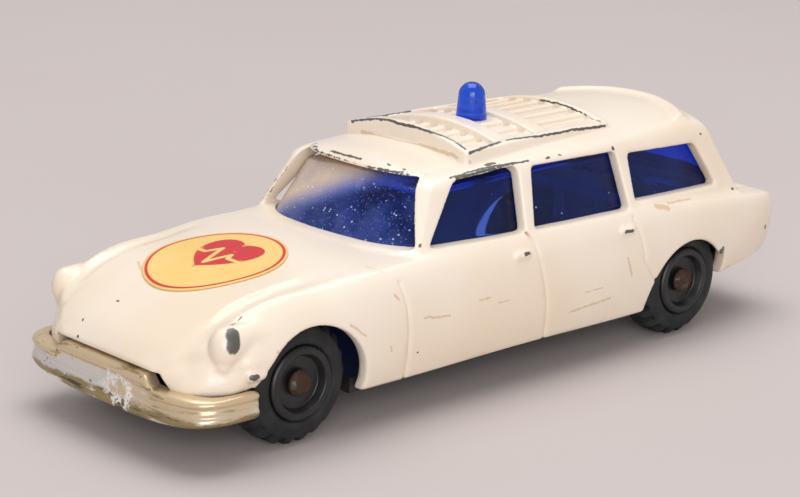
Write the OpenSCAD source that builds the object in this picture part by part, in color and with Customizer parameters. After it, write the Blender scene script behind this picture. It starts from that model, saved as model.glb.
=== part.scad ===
// Toy estate-car ambulance: die-cast shell on a riveted base, with turning wheels
// +X is forward, +Y is the car's left, +Z is up, the origin is on the ground under the middle of the car
// All sizes are in millimetres

/* [Body] */
// Length from the bumper's face to the tail
car_l = 74.6; // [72:0.2:78]
// Width of the body at its widest
body_w = 25.4; // [24.6:0.1:26.4]
// Height of the sill above the ground
sill_z = 3.9; // [3.6:0.1:4.2]
// Height at which the flanks are widest
flank_z = 8.6; // [8:0.1:9.2]
// Height of the bonnet where it meets the windscreen
belt_z = 14.2; // [13.8:0.1:14.6]
// Height of the roof at its highest
roof_z = 21.3; // [20.8:0.1:21.8]
// Thickness of the cast wall
wall = 1.2; // [1:0.05:1.4]
// How far the bumper's face stands out beyond the nose
nose_set = 0.5; // [0.3:0.1:0.8]

/* [Greenhouse] */
// Half width of the cabin at the belt, beside the driver
cabin_y = 11.35; // [11.1:0.05:11.6]
// How far the cabin sides lean in up to the roof
lean = 1.9; // [1.7:0.1:2.1]
// Distance from the nose to the foot of the windscreen
screen_set = 21.7; // [21.2:0.1:22.2]
// Distance from the tail to the foot of the tailgate glass
gate_set = 5.3; // [5:0.1:5.6]
// Thickness of the clear moulding
glass_t = 0.8; // [0.6:0.05:1]
// Gap between the clear moulding and the cast wall
glass_gap = 0.15; // [0.1:0.05:0.2]
// Radius of the windows' corners
window_r = 0.5; // [0.3:0.1:0.7]

/* [Roof rack] */
// Distance from the nose to the front of the rack
rack_set = 32.6; // [32:0.1:33.2]
// Length of the rack
rack_l = 19.4; // [18.4:0.2:20.4]
// Half width of the rack at its front
rack_y = 8; // [7.7:0.1:8.3]
// Height of the rack's rim above the roof, at its rear
rack_h = 0.75; // [0.6:0.05:0.9]
// Width of the rack's rim
rim_w = 0.8; // [0.6:0.1:1]
// Width of each crossbar
bar_w = 1.9; // [1.5:0.1:2.3]
// Height of the slats above the roof
slat_h = 0.4; // [0.3:0.05:0.5]
// Distance between slats
slat_pitch = 1.9; // [1.7:0.1:2.1]

/* [Beacon] */
// Diameter of the beacon's dome at its foot
beacon_d = 2.9; // [2.6:0.1:3.2]
// Height of the dome above its boss
beacon_h = 3.4; // [3:0.1:3.8]
// Diameter of the stem that goes through the roof
stem_d = 1.6; // [1.4:0.1:1.8]
// Diameter of the boss under the dome
boss_d = 4.6; // [4.2:0.1:5]
// Gap round the stem
stem_gap = 0.05; // [0.03:0.01:0.1]
// Distance from the rack's front to the beacon
beacon_set = 8.4; // [8:0.1:8.8]

/* [Wheels] */
// Distance between the axles
wheelbase = 47.3; // [46.5:0.1:48]
// Distance from the nose of the bumper to the front axle
front_overhang = 11.9; // [11.6:0.1:12.2]
// Diameter over the tread lugs
tyre_d = 10.8; // [10.4:0.1:11]
// Width of the tyre
tyre_w = 3.6; // [3.2:0.1:3.8]
// Diameter of the wheel centre that the tyre sits on
hub_d = 6.4; // [6:0.1:6.8]
// Distance that the wheel's outer face lies inside the flank
wheel_set = 1.2; // [1:0.1:1.4]
// Number of tread lugs
lugs = 22; // [16:1:26]
// Depth of the tread
tread_h = 0.7; // [0.5:0.05:0.8]
// Diameter of the axle wire
axle_d = 1.6; // [1.4:0.1:1.8]
// Diameter of the axle's domed heads
head_d = 2.3; // [2.1:0.1:2.6]
// Running gap round the axle, in its bearings and in the wheels
run_gap = 0.05; // [0.03:0.01:0.08]
// End float between a wheel and what is beside it
end_gap = 0.2; // [0.15:0.05:0.3]
// Radius of the wheel arches
arch_r = 5.8; // [5.7:0.05:6]

/* [Base and bumper] */
// Thickness of the base plate
base_t = 1.3; // [1.1:0.1:1.5]
// Gap between the base plate and the shell
base_gap = 0.15; // [0.1:0.05:0.2]
// Height of the bumper's lower lip at its middle
bumper_z = 3.2; // [2.9:0.1:3.5]
// Thickness of the bumper from front to back
bumper_t = 1.7; // [1.4:0.1:2]
// Gap between the bumper and what it sits against
seat_gap = 0.2; // [0.1:0.05:0.3]
// Diameter of the rivet shanks
rivet_d = 2; // [1.7:0.1:2.3]
// Diameter of the spun rivet heads
rivet_head_d = 3.4; // [3:0.1:3.8]

/* [Label] */
// Diameter of the bonnet label
label_d = 12.2; // [11.6:0.2:12.8]
// Thickness of the label
label_t = 0.12; // [0.1:0.01:0.16]

/* [Hidden] */

half_w = body_w / 2;
track_y = half_w - wheel_set;
bumper_x = car_l / 2;
nose_x = bumper_x - nose_set;
tail_x = -car_l / 2;
front_axle_x = bumper_x - front_overhang;
rear_axle_x = front_axle_x - wheelbase;
axle_z = tyre_d / 2;
fine = 64;
coarse = 16;
// Long enough for a cut to pass right through
tall = 12;

// Smooth curve through points [place, value], in rising order of place
function secant(p, a, b) = (p[b][1] - p[a][1]) / (p[b][0] - p[a][0]);
function slope(p, i) = secant(p, max(i - 1, 0), min(i + 1, len(p) - 1));
function span(p, x, i = 0) = i + 2 >= len(p) || x < p[i + 1][0] ? i : span(p, x, i + 1);
function cubic(a, b, ma, mb, t) =
    a * (1 + 2 * t) * (1 - t) * (1 - t) + ma * t * (1 - t) * (1 - t)
    + b * t * t * (3 - 2 * t) - mb * t * t * (1 - t);
function smooth(p, x) =
    let (i = span(p, x), w = p[i + 1][0] - p[i][0], t = min(1, max(0, (x - p[i][0]) / w)))
    cubic(p[i][1], p[i + 1][1], w * slope(p, i), w * slope(p, i + 1), t);
function mix(a, b, t) = a + (b - a) * t;
function ease(t) = let (c = min(1, max(0, t))) c * c * (3 - 2 * c);

// Closed loft through rings that have the same number of points
function loft_faces(n, m) = concat(
    [[for (j = [0:m - 1]) j]],
    [[for (j = [m - 1:-1:0]) (n - 1) * m + j]],
    [for (i = [0:n - 2], j = [0:m - 1]) [i * m + j, (i + 1) * m + j, i * m + (j + 1) % m]],
    [for (i = [0:n - 2], j = [0:m - 1]) [(i + 1) * m + j, (i + 1) * m + (j + 1) % m, i * m + (j + 1) % m]]);
module loft(rings) {
    polyhedron([for (r = rings) each r], loft_faces(len(rings), len(rings[0])), convexity = 8);
}

// Lower body. Each value goes by the distance from the nose (front half) or from the tail (rear half):
// how far the flank lies inside the full width, how far the middle of the bonnet or tail and the ridge of the
// wing lie below the belt, how far the ridge lies inside the flank, the depth of the valley beside the bonnet,
// and how far the lower edge lies above the sill
front_inset = [[0, 5.7], [0.6, 4.5], [1, 3.5], [1.7, 2.2], [2.7, 1.15], [4, 0.45], [6, 0.1], [9, 0], [37, 0]];
rear_inset = [[0, 4.6], [0.6, 3.2], [1.4, 2.3], [2.6, 1.75], [5, 1.2], [9, 0.75],
    [15, 0.35], [27, 0.05], [37, 0]];
front_top = [[0, -6.3], [0.5, -5.5], [1.2, -4.7], [2.5, -3.75], [4, -2.9], [6, -1.95], [9, -1.15], [13, -0.5],
    [19, -0.05], [37, -0.1]];
rear_top = [[0, -4.9], [0.6, -3.5], [1.4, -2.75], [2.6, -2.35], [5, -1.95], [9, -1.3],
    [15, -0.8], [27, -0.3], [37, -0.1]];
front_ridge = [[0, -6.5], [1.2, -6.1], [2.5, -5.2], [4, -3.5], [6, -2], [9, -1.3], [13, -1.1], [19, -0.7],
    [37, -0.5]];
rear_ridge = [[0, -5.2], [0.6, -3.9], [1.4, -3.05], [2.6, -2.6], [5, -2.15], [9, -1.5],
    [15, -1], [27, -0.6], [37, -0.5]];
front_roll = [[0, 1.2], [2.5, 1.8], [4, 2], [6, 2.2], [13, 2.1], [19, 1.8], [37, 1.7]];
rear_roll = [[0, 1.2], [2, 1.2], [9, 1.3], [20, 1.5], [37, 1.7]];
front_valley = [[0, 0], [2.5, 0.7], [4, 0.9], [6, 0.8], [9, 0.5], [13, 0.15], [19, 0], [37, 0]];
rear_valley = [[0, 0], [37, 0]];
nose_lift = 2.1;
front_hem = [[0, nose_lift], [6, nose_lift], [9, 1], [13, 0], [37, 0]];
rear_hem = [[0, 2.3], [2, 1.9], [6, 1.5], [10, 1.1], [15, 0], [37, 0]];
function by_end(front, rear, x) = x > 0 ? smooth(front, nose_x - x) : smooth(rear, x - tail_x);

// Points on the tucked-in lower flank and on the rolled upper flank, and places across half the top, from the
// ridge to the middle; the bonnet's edge is where the valley starts
low_n = 3;
side_n = 6;
bonnet_edge = 0.72;
top_places = [0.93, 0.86, 0.79, bonnet_edge, 0.48, 0.24, 0];
// How far the flank tucks in at the sill, how thick its lower edge is, and the least height of its roll
tuck = 0.95;
hem_t = 0.3;
roll_h = 0.6;
// How far the hollow runs out below the lower edge
below = 3;
// Share of the valley's depth: a sharp start at the bonnet's edge and a soft end at the ridge
function dip(u) = let (t = max(0, (u - bonnet_edge) / (1 - bonnet_edge))) 6.75 * t * (1 - t) * (1 - t);
function half_section(x, w) =
    let (
        ym = half_w - by_end(front_inset, rear_inset, x) - w,
        yr = ym - by_end(front_roll, rear_roll, x),
        zr = belt_z + by_end(front_ridge, rear_ridge, x) - w,
        zc = belt_z + by_end(front_top, rear_top, x) - w,
        zb = sill_z + by_end(front_hem, rear_hem, x),
        zm = min(flank_z, zr - roll_h),
        v = by_end(front_valley, rear_valley, x))
    concat(
        [[x, ym - tuck - (w > 0 ? 0 : hem_t), w > 0 ? zb - below : zb]],
        [for (i = [0:low_n - 1])
            let (t = 1 - i / low_n)
            [x, ym - tuck * t * t, zm - (zm - zb - hem_t / 2) * t]],
        [for (i = [0:side_n])
            let (a = 90 * i / side_n)
            [x, yr + (ym - yr) * cos(a), zm + (zr - zm) * sin(a)]],
        [for (u = top_places) [x, yr * u, zc + (zr - zc) * u * u - v * dip(u)]]);
function ring_of(half) = concat(half, [for (i = [len(half) - 2:-1:0]) [half[i][0], -half[i][1], half[i][2]]]);

front_steps = [31, 25, 20, 16.5, 12.8, 10, 7.5, 5.5, 4, 2.8, 1.9, 1.2, 0.6, 0.25, 0];
rear_steps = [0, 0.3, 0.8, 1.6, 3, 5, 8, 12, 16.8, 23, 30];
// One station near the middle; those that a short car would carry past it are left out
mid_x = 0.4;
station_gap = 1;
function spread(rear, front) = concat(
    [for (d = rear) if (tail_x + d < mid_x - station_gap) tail_x + d], [mid_x],
    [for (d = front) if (nose_x - d > mid_x + station_gap) nose_x - d]);
stations = spread(rear_steps, front_steps);
// The inner surface is the outer one drawn in by the wall, w
inner_stations = [for (i = [0:2:len(stations) - 1]) stations[i]];
function shrink(w) = 1 - 2 * w / (nose_x - tail_x);
module tub(w = 0, xs = stations) {
    loft([for (x = xs) [for (p = ring_of(half_section(x, w))) [p[0] * shrink(w), p[1], p[2]]]]);
}

// Cabin: its outline at each height, drawn in by w. Each pair is a value at the belt and at the roof's edge
screen_x = nose_x - screen_set;
gate_x = tail_x + gate_set;
crown_h = 1.5;
edge_z = roof_z - crown_h;
cabin_sink = 2.6;
foot_z = belt_z - cabin_sink;
screen_rake = 0.82;
gate_rake = 0.63;
front_narrow = [0.75, 0.6];
front_sweep = [3.3, 1.7];
rear_narrow = [1.5, 0.9];
rear_sweep = [2.2, 1.6];
function rise(z) = (z - belt_z) / (edge_z - belt_z);
function between(pair, t) = mix(pair[0], pair[1], t);
// Extra lean near the roof rounds the roof's edge
brow_in = 1.6;
brow_start = 1.4;
brow_h = 3.2;
brow_slant = 1.3;
function brow(z) = brow_in * pow(max(0, (z - edge_z + brow_start) / brow_h), 2);
// Points across half the screen, along a side and across half the tailgate
screen_n = 6;
wing_n = 12;
gate_n = 5;
function half_cabin(z, w) =
    let (
        t = rise(z),
        b = brow(z),
        y_full = cabin_y - lean * t - w - b,
        xf = screen_x - screen_rake * (z - belt_z) - w - brow_slant * b,
        yf = y_full - between(front_narrow, t),
        sf = between(front_sweep, t),
        xr = gate_x + gate_rake * (z - belt_z) + w + brow_slant * b,
        yr = y_full - between(rear_narrow, t),
        sr = between(rear_sweep, t),
        bulge = y_full - (yf + yr) / 2)
    concat(
        [for (i = [0:screen_n]) let (s = i / screen_n) [xf - sf * (0.6 * s * s + 0.4 * pow(s, 6)), yf * s, z]],
        [for (i = [1:wing_n - 1])
            let (s = i / wing_n)
            [mix(xf - sf, xr + sr, s), mix(yf, yr, s) + bulge * 4 * s * (1 - s), z]],
        [for (i = [gate_n:-1:0]) let (s = i / gate_n) [xr + sr * pow(s, 4), yr * s, z]]);
function both_sides(h) = concat(h, [for (i = [len(h) - 2:-1:1]) [h[i][0], -h[i][1], h[i][2]]]);
cabin_levels = concat(
    [foot_z], [for (d = [1.1, 3.1]) belt_z + d],
    [for (d = [-1.4, -0.6, 0.1, 0.8, 1.5, 2.4]) edge_z + d]);
module cabin(w = 0) {
    loft([for (z = cabin_levels) both_sides(half_cabin(z, w))]);
}

// Roof and rack tops: crowned surfaces. The roof goes by the distance from the nose or the tail, the rack by
// the distance from its own front
crown_y = 8;
roof_crown = 1;
rack_crown = 1.35;
front_roof = [[18, -3.9], [27, -1.1], [33, -0.55], [37, -0.37]];
rear_roof = [[1, -3.9], [8, -1], [11, -0.35], [14, -0.05], [22, -0.1], [32, -0.2], [37, -0.37]];
rack_fall = [[0, 0.25], [9.4, 0.2], [19.4, -0.05]];
rack_x = nose_x - rack_set;
function roof_at(x, y) = roof_z + by_end(front_roof, rear_roof, x) - roof_crown * pow(y / crown_y, 2);
function rack_at(x, y) = roof_z + rack_h + smooth(rack_fall, rack_x - x) - rack_crown * pow(y / crown_y, 2);
deck_stations = spread([1, 4, 7, 9, 11, 13, 16, 19, 23, 27, 32], [34, 31, 28, 25, 21, 18]);
deck_n = 5;
deck_depth = 6;
// Solid below a surface that top(x, y) gives the height of
module under(top) {
    loft([for (x = deck_stations)
        concat(
            [for (s = [-1, 1]) [x, s * half_w, belt_z - deck_depth]],
            [for (i = [deck_n:-1:-deck_n]) let (y = half_w * i / deck_n) [x, y, top(x, y)]])]);
}
module greenhouse(w = 0) {
    intersection() {
        cabin(w);
        under(function (x, y) roof_at(x, y) - w);
    }
}

// Rack cast on the roof: a rim, two crossbars and low slats in the two bays
rack_taper = 0.9;
rack_end_x = rack_x - rack_l;
rack_end_y = rack_y - rack_taper;
bar_sets = [5.6, 11];
rack_sink = 0.3;
rack_root = edge_z - rack_sink;
beacon_x = rack_x - beacon_set;
function rack_half(x) = mix(rack_y, rack_end_y, (rack_x - x) / rack_l);
module rack_plan(inset = 0) {
    polygon([
        [rack_x - inset, -rack_y + inset], [rack_x - inset, rack_y - inset],
        [rack_end_x + inset, rack_end_y - inset], [rack_end_x + inset, -rack_end_y + inset]]);
}
module bar_plan(x) {
    translate([x - bar_w / 2, -rack_half(x)])
        square([bar_w, 2 * rack_half(x)]);
}
module slat_plan() {
    slat_n = floor((rack_end_y - rim_w) / slat_pitch);
    intersection() {
        rack_plan(rim_w / 2);
        for (i = [-slat_n:slat_n])
            translate([rack_end_x, (i - 0.25) * slat_pitch]) square([rack_l, slat_pitch / 2]);
    }
}
module rack() {
    intersection() {
        under(function (x, y) rack_at(x, y));
        translate([0, 0, rack_root]) linear_extrude(tall) {
            difference() {
                rack_plan();
                rack_plan(rim_w);
            }
            for (d = bar_sets)
                bar_plan(rack_x - d);
        }
    }
    intersection() {
        under(function (x, y) roof_at(x, y) + slat_h);
        translate([0, 0, rack_root]) linear_extrude(tall) slat_plan();
    }
}

// Headlamp pods, side lamps and door handles stand proud of the casting
pod_r = 1.35;
pod_l = 4;
pod_climb = 0.8;
pod_taper = 0.3;
pod_x = nose_x - 3.9;
pod_y = half_w - 1.8;
pod_z = belt_z - 4.25;
module pod() {
    hull() {
        translate([pod_x, pod_y, pod_z]) scale([1, 0.95, 1.25]) sphere(pod_r, $fn = coarse);
        translate([pod_x - pod_l, pod_y, pod_z + pod_climb]) sphere(pod_r - pod_taper, $fn = coarse);
    }
}
side_lamp_r = 0.55;
side_lamp_l = 1.1;
side_lamp_x = nose_x - 5.4;
side_lamp_z = belt_z - 6.65;
handle_r = 0.4;
handle_in = 0.55;
handle_l = 1.3;
handle_z = belt_z - 2.1;
handle_sets = [35, 48.6];
// Rounded bar on the flank, from x backwards
module flank_bar(x, y, z, r, l) {
    hull()
        for (d = [0, l])
            translate([x - d, y, z]) sphere(r, $fn = 8);
}
module flank_details() {
    pod();
    flank_bar(side_lamp_x, half_w - side_lamp_r, side_lamp_z, side_lamp_r, side_lamp_l);
    for (d = handle_sets)
        flank_bar(nose_x - d, half_w - handle_in, handle_z, handle_r, handle_l);
}

// Rear lip of the roof: a rounded bead that sweeps forward to the sides
lip_x = tail_x + 10.4;
lip_y = cabin_y - lean - 1.6;
lip_sweep = 2.6;
lip_r = 0.45;
lip_n = 6;
function lip_point(s) = let (x = lip_x + lip_sweep * s * s) [x, lip_y * s, roof_at(x, lip_y * s)];
module roof_lip() {
    for (i = [-lip_n:lip_n - 1])
        hull()
            for (k = [i, i + 1])
                translate(lip_point(k / lip_n)) sphere(lip_r, $fn = 8);
}

// Window cut-outs: corners [x from the nose, height above the belt] for the sides, [y, height] for the ends
side_windows = [
    [[26, -0.15], [30.05, 4.75], [37.6, 5.1], [36.9, -0.55]],
    [[38.1, -0.45], [39.2, 4.85], [50.1, 4.65], [50.6, -0.75]],
    [[51.6, 0.05], [51.7, 4.25], [61.7, 3.75], [64.3, 0.4], [63.3, -0.4]]];
screen_half = [[9.95, -0.2], [7.3, 5.2]];
gate_half = [[7.4, 0.3], [6.4, 4]];
// How far the cuts start behind the foot of the screen and of the tailgate glass
screen_cut = 8.5;
gate_cut = 4.3;
module side_window(corners) {
    points = [for (c = corners) [nose_x - c[0], belt_z + c[1]]];
    rotate([90, 0, 0]) linear_extrude(2 * body_w, center = true)
        offset(window_r, $fn = coarse) offset(-window_r) polygon(points);
}
module end_window(half, x, reach) {
    points = concat([for (c = half) [c[0], belt_z + c[1]]],
        [for (i = [len(half) - 1:-1:0]) [-half[i][0], belt_z + half[i][1]]]);
    translate([x, 0, 0]) rotate([90, 0, 90]) linear_extrude(reach)
        offset(window_r, $fn = coarse) offset(-window_r) polygon(points);
}
module windows() {
    for (w = side_windows)
        side_window(w);
    end_window(screen_half, screen_x - screen_cut, tall);
    end_window(gate_half, gate_x - gate_cut, tall);
}

// Wheel arches, and room inside for the tyres
arch_drop = 0.85;
arch_back = 0.5;
arch_depth = 2.7;
well_gap = 0.35;
well_depth = 5;
well_out = 0.1;
module arches() {
    for (x = [front_axle_x - arch_back, rear_axle_x], s = [-1, 1])
        translate([x, s * half_w, axle_z - arch_drop]) rotate([90, 0, 0])
            cylinder(r = arch_r, h = 2 * arch_depth, center = true, $fn = fine);
    for (x = [front_axle_x, rear_axle_x], s = [-1, 1])
        translate([x, s * (track_y + well_out), axle_z]) rotate([s * 90, 0, 0])
            cylinder(r = axle_z + well_gap, h = well_depth, $fn = fine);
}

// Notch under the bonnet's edge for the bumper's raised middle
notch_y = 7.2;
notch_z = belt_z - 6.75;
notch_slant = 1.2;
notch_depth = 5;
module bumper_notch() {
    translate([nose_x - notch_depth, 0, 0]) rotate([90, 0, 90])
        linear_extrude(tall) polygon([
            [-notch_y - notch_slant, sill_z], [notch_y + notch_slant, sill_z],
            [notch_y, notch_z], [-notch_y, notch_z]]);
}

// Door seams, cut to a shallow depth in the flank: points [x from the nose, height above the belt]
seam_w = 0.3;
seam_d = 0.25;
seams = [
    [[20.9, -1.7], [21.4, -4.1], [21.5, -6.8], [21.8, -12]],
    [[36.0, -0.3], [37.0, -1.3], [37.9, -3.7], [38.5, -6.5], [38.8, -12]],
    [[50.5, -1.2], [51.3, -3.2], [51.8, -5.5], [54.4, -8.5]]];
// Tailgate's lower edge: points [y, height above the belt], and how far forward its cut runs
gate_run = 5.3;
gate_seam = [[-7.6, -2.1], [-7.2, -3.5], [7.2, -3.5], [7.6, -2.1]];
module seam_cut() {
    difference() {
        rotate([90, 0, 0]) linear_extrude(2 * body_w, center = true)
            for (s = seams, i = [0:len(s) - 2])
                hull() {
                    translate([nose_x - s[i][0], belt_z + s[i][1]]) circle(d = seam_w, $fn = 8);
                    translate([nose_x - s[i + 1][0], belt_z + s[i + 1][1]]) circle(d = seam_w, $fn = 8);
                }
        translate([tail_x - wall, 0, 0]) rotate([90, 0, 90]) linear_extrude(gate_run)
            for (i = [0:len(gate_seam) - 2])
                hull()
                    for (k = [i, i + 1])
                        translate([gate_seam[k][0], belt_z + gate_seam[k][1]]) circle(d = seam_w, $fn = 8);
        tub(seam_d);
        translate([tail_x, -half_w + wall, belt_z - 1]) cube([car_l, body_w - 2 * wall, tall]);
    }
}

// Posts that the rivets hold, and cross webs with ribs that keep the axles down in their slots
base_drop = 0.9;
pan_lift = 1.3;
base_z = sill_z - base_drop;
pan_z = sill_z + pan_lift;
post_wall = 1;
post_d = rivet_d + 2 * stem_gap + 2 * post_wall;
front_post_x = front_axle_x + 5.2;
rear_post_x = tail_x + 5.15;
posts = [[front_post_x, base_z], [rear_post_x, pan_z]];
support_drop = 2.4;
support_top = belt_z - support_drop;
web_z = tyre_d + well_gap;
rib_y = 4.6;
rib_t = 1.4;
rib_l = 2;
module post(p) {
    z = p[1] + base_t;
    difference() {
        translate([p[0], 0, z]) cylinder(d = post_d, h = support_top - z, $fn = coarse);
        translate([p[0], 0, p[1]]) cylinder(d = rivet_d + 2 * stem_gap, h = rivet_l + stem_gap, $fn = coarse);
    }
}
module axle_keeper(x) {
    z = axle_z + axle_d / 2 + run_gap;
    translate([x - rib_l / 2, -half_w, web_z]) cube([rib_l, body_w, support_top - web_z]);
    for (s = [-1, 1])
        translate([x - rib_l / 2, s * rib_y - rib_t / 2, z]) cube([rib_l, rib_t, support_top - z]);
}
module shell_supports() {
    intersection() {
        tub(wall / 2);
        union() {
            for (p = posts)
                post(p);
            for (x = [front_axle_x, rear_axle_x])
                axle_keeper(x);
        }
    }
}

module body_shell() {
    color("ivory") {
        difference() {
            union() {
                tub();
                difference() {
                    greenhouse();
                    windows();
                }
                rack();
                roof_lip();
                for (s = [0, 1])
                    mirror([0, s, 0]) flank_details();
                translate([beacon_x, 0, boss_z - wall]) cylinder(d = boss_d, h = wall, $fn = coarse);
            }
            tub(wall, inner_stations);
            greenhouse(wall);
            arches();
            bumper_notch();
            seam_cut();
            translate([beacon_x, 0, belt_z]) cylinder(d = stem_d + 2 * stem_gap, h = tall, $fn = coarse);
        }
        shell_supports();
    }
}

// Clear moulding that lines the cabin
glass_foot = 0.7;
glass_out = wall + glass_gap;
module glazing() {
    color("royalblue", 0.6)
        difference() {
            intersection() {
                greenhouse(glass_out);
                translate([tail_x, -half_w, belt_z - glass_foot]) cube([car_l, body_w, tall]);
            }
            greenhouse(glass_out + glass_t);
            translate([beacon_x, 0, belt_z]) cylinder(d = clip_d + 2 * clip_room, h = tall, $fn = fine);
        }
}

// Beacon: dome on a round foot, with a stem through the roof and a push-on clip inside
boss_proud = 0.05;
boss_z = roof_at(beacon_x, 0) + slat_h + boss_proud;
clip_d = 4;
clip_gap = 0.02;
clip_room = 0.3;
clip_t = 0.6;
stem_end = 0.4;
dome_in = 0.22;
dome_n = 8;
module roof_beacon() {
    top_r = beacon_d / 2 - dome_in;
    color("blue") translate([beacon_x, 0, boss_z]) {
        rotate_extrude($fn = fine)
            polygon(concat(
                [[0, -stem_l], [stem_d / 2, -stem_l], [stem_d / 2, 0], [beacon_d / 2, 0]],
                [for (i = [0:dome_n])
                    let (a = 90 * i / dome_n)
                    [top_r * cos(a), beacon_h - top_r + top_r * sin(a)]]));
    }
}
clip_z = roof_at(beacon_x, clip_d / 2) - wall - stem_gap;
stem_l = boss_z - clip_z + clip_t + stem_end;
module beacon_clip() {
    color("silver") translate([beacon_x, 0, clip_z - clip_t])
        difference() {
            cylinder(d = clip_d, h = clip_t, $fn = fine);
            translate([0, 0, -clip_t]) cylinder(d = stem_d + 2 * clip_gap, h = 3 * clip_t, $fn = fine);
        }
}

// Bumper: a plated moulding round the nose. Its plan is a squared-off ellipse, and it carries a raised middle
// and a rounded lump beside the number panel
tyre_room = 0.5;
bumper_back_x = front_axle_x + axle_z + tyre_room;
bumper_wrap = 2.2;
bumper_square = 0.4;
bumper_end_a = 88.3;
bumper_n = 48;
bumper_lift = 0.8;
bumper_out = 0.05;
bumper_thin = 0.45;
bumper_top = sill_z + nose_lift - seat_gap;
lump_r = 1;
lump_y = [1.3, 3.4];
lump_z = bumper_z + 1.7;
lump_flat = 0.75;
// Face of the bumper, from below: [depth, share of the height from the lip to the top of the ends]
bumper_face = [[bumper_t, 0.05], [0.45, 0], [0.12, 0.12], [0.12, 0.26], [0.3, 0.33], [0, 0.42], [0, 0.57],
    [0.3, 0.66], [0.05, 0.75]];
// Rolled upper edge: [depth, share of the roll's height below the top]
bumper_brow = 0.9;
bumper_roll = [[0.1, 1], [0.4, 0.4], [1, 0], [bumper_t, 0]];
roll_gap = 0.05;
function bent(v) = sign(v) * pow(abs(v), bumper_square);
function bumper_plan(a, w) =
    let (x = bumper_back_x - bumper_wrap)
    [x + (bumper_x - x - w) * bent(cos(a)), (half_w + bumper_out - w) * bent(sin(a))];
function bumper_ring(a) =
    let (
        y = abs(bumper_plan(a, 0)[1]),
        lip = bumper_z + bumper_lift * pow(y / half_w, 2),
        thin = 1 - bumper_thin * pow(min(1, y / half_w), 6),
        top = mix(bumper_top, notch_z - seat_gap, ease((notch_y - seat_gap - y) / notch_slant)),
        low = [for (q = bumper_face) [q[0], mix(lip, bumper_top, q[1])]],
        roll = min(bumper_brow, top - low[len(low) - 1][1] - roll_gap),
        brow = [for (q = bumper_roll) [q[0], top - roll * q[1]]])
    [for (q = concat(low, brow)) let (p = bumper_plan(a, q[0] * thin)) [p[0], p[1], q[1]]];
module front_bumper() {
    color("silver") {
        loft([for (i = [0:bumper_n]) bumper_ring(mix(bumper_end_a, -bumper_end_a, i / bumper_n))]);
        hull()
            for (y = lump_y)
                translate([bumper_x - lump_flat * lump_r, y, lump_z]) scale([lump_flat, 0.8, 1])
                    sphere(lump_r, $fn = coarse);
    }
}

// Base plate: follows the inside of the shell, steps up under the tail, is cut back at the wheels and has
// slotted lugs for the axles
base_side = tuck + wall + base_gap;
base_y = track_y - tyre_w - end_gap;
base_nose_x = bumper_x - bumper_t - 2 * seat_gap;
cut_room = 0.6;
cut_half = axle_z + cut_room;
pan_x = rear_axle_x - cut_half + base_gap;
pan_set = 3;
pan_in = 0.4;
pan_steps = [0, 0.8, 2.4, 5];
riser_in = 0.2;
pan_front_x = pan_x + base_t + 2 * riser_in;
lug_l = 4.4;
lug_t = 1.8;
lug_y = base_y - lug_t / 2;
lug_top = axle_z + axle_d / 2;
keel_set = 5;
keel_y = 3;
keel_t = 0.5;
function base_half(x) = half_w - by_end(front_inset, rear_inset, x / shrink(wall)) - base_side;
module base_outline(xs, inset = 0) {
    edge = [for (x = xs) [x, base_half(x) - inset]];
    polygon(concat(edge, [for (i = [len(edge) - 1:-1:0]) [edge[i][0], -edge[i][1]]]));
}
module wheel_cuts() {
    for (x = [front_axle_x, rear_axle_x], s = [-1, 1])
        translate([x - cut_half, s * (base_y + half_w) - half_w]) square([2 * cut_half, 2 * half_w]);
}
module post_hole(z) {
    translate([0, 0, z - base_t]) {
        cylinder(d = rivet_d + 2 * base_gap, h = 3 * base_t, $fn = fine);
        cylinder(d = rivet_head_d + 2 * base_gap, h = base_t + rivet_head_t, $fn = fine);
    }
}
module base_plate() {
    color("dimgray") difference() {
        union() {
            translate([0, 0, base_z]) linear_extrude(base_t)
                difference() {
                    base_outline(concat([pan_x, 0], [for (d = [9, 6, 4]) nose_x - d], [base_nose_x]));
                    wheel_cuts();
                }
            translate([0, 0, pan_z]) linear_extrude(base_t)
                difference() {
                    base_outline(concat([for (d = pan_steps) tail_x + pan_set + d], [pan_front_x]), pan_in);
                    wheel_cuts();
                }
            translate([pan_x + riser_in, -base_y + riser_in, base_z + riser_in])
                cube([base_t, 2 * (base_y - riser_in), pan_z + base_t - base_z - 2 * riser_in]);
            for (x = [front_axle_x, rear_axle_x], s = [-1, 1])
                translate([x - lug_l / 2, s * lug_y - lug_t / 2, base_z])
                    cube([lug_l, lug_t, lug_top - base_z]);
            translate([rear_axle_x + keel_set, -keel_y, base_z - keel_t])
                cube([wheelbase - 2 * keel_set, 2 * keel_y, keel_t + base_t / 2]);
        }
        for (x = [front_axle_x, rear_axle_x])
            translate([x, 0, axle_z]) {
                rotate([90, 0, 0]) cylinder(d = axle_d + 2 * run_gap, h = body_w, center = true, $fn = fine);
                translate([-axle_d / 2 - run_gap, -half_w, 0]) cube([axle_d + 2 * run_gap, body_w, axle_d]);
            }
        translate([front_post_x, 0, 0]) post_hole(base_z);
        translate([rear_post_x, 0, 0]) post_hole(pan_z);
    }
}

// Rivets: spun heads in the base, shanks in the shell's posts
rivet_head_t = 0.5;
rivet_l = 2.5;
module base_rivets() {
    color("gray")
        for (p = posts)
            translate([p[0], 0, p[1]]) {
                cylinder(d = rivet_head_d, h = rivet_head_t, $fn = fine);
                cylinder(d = rivet_d, h = rivet_l, $fn = fine);
            }
}

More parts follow.
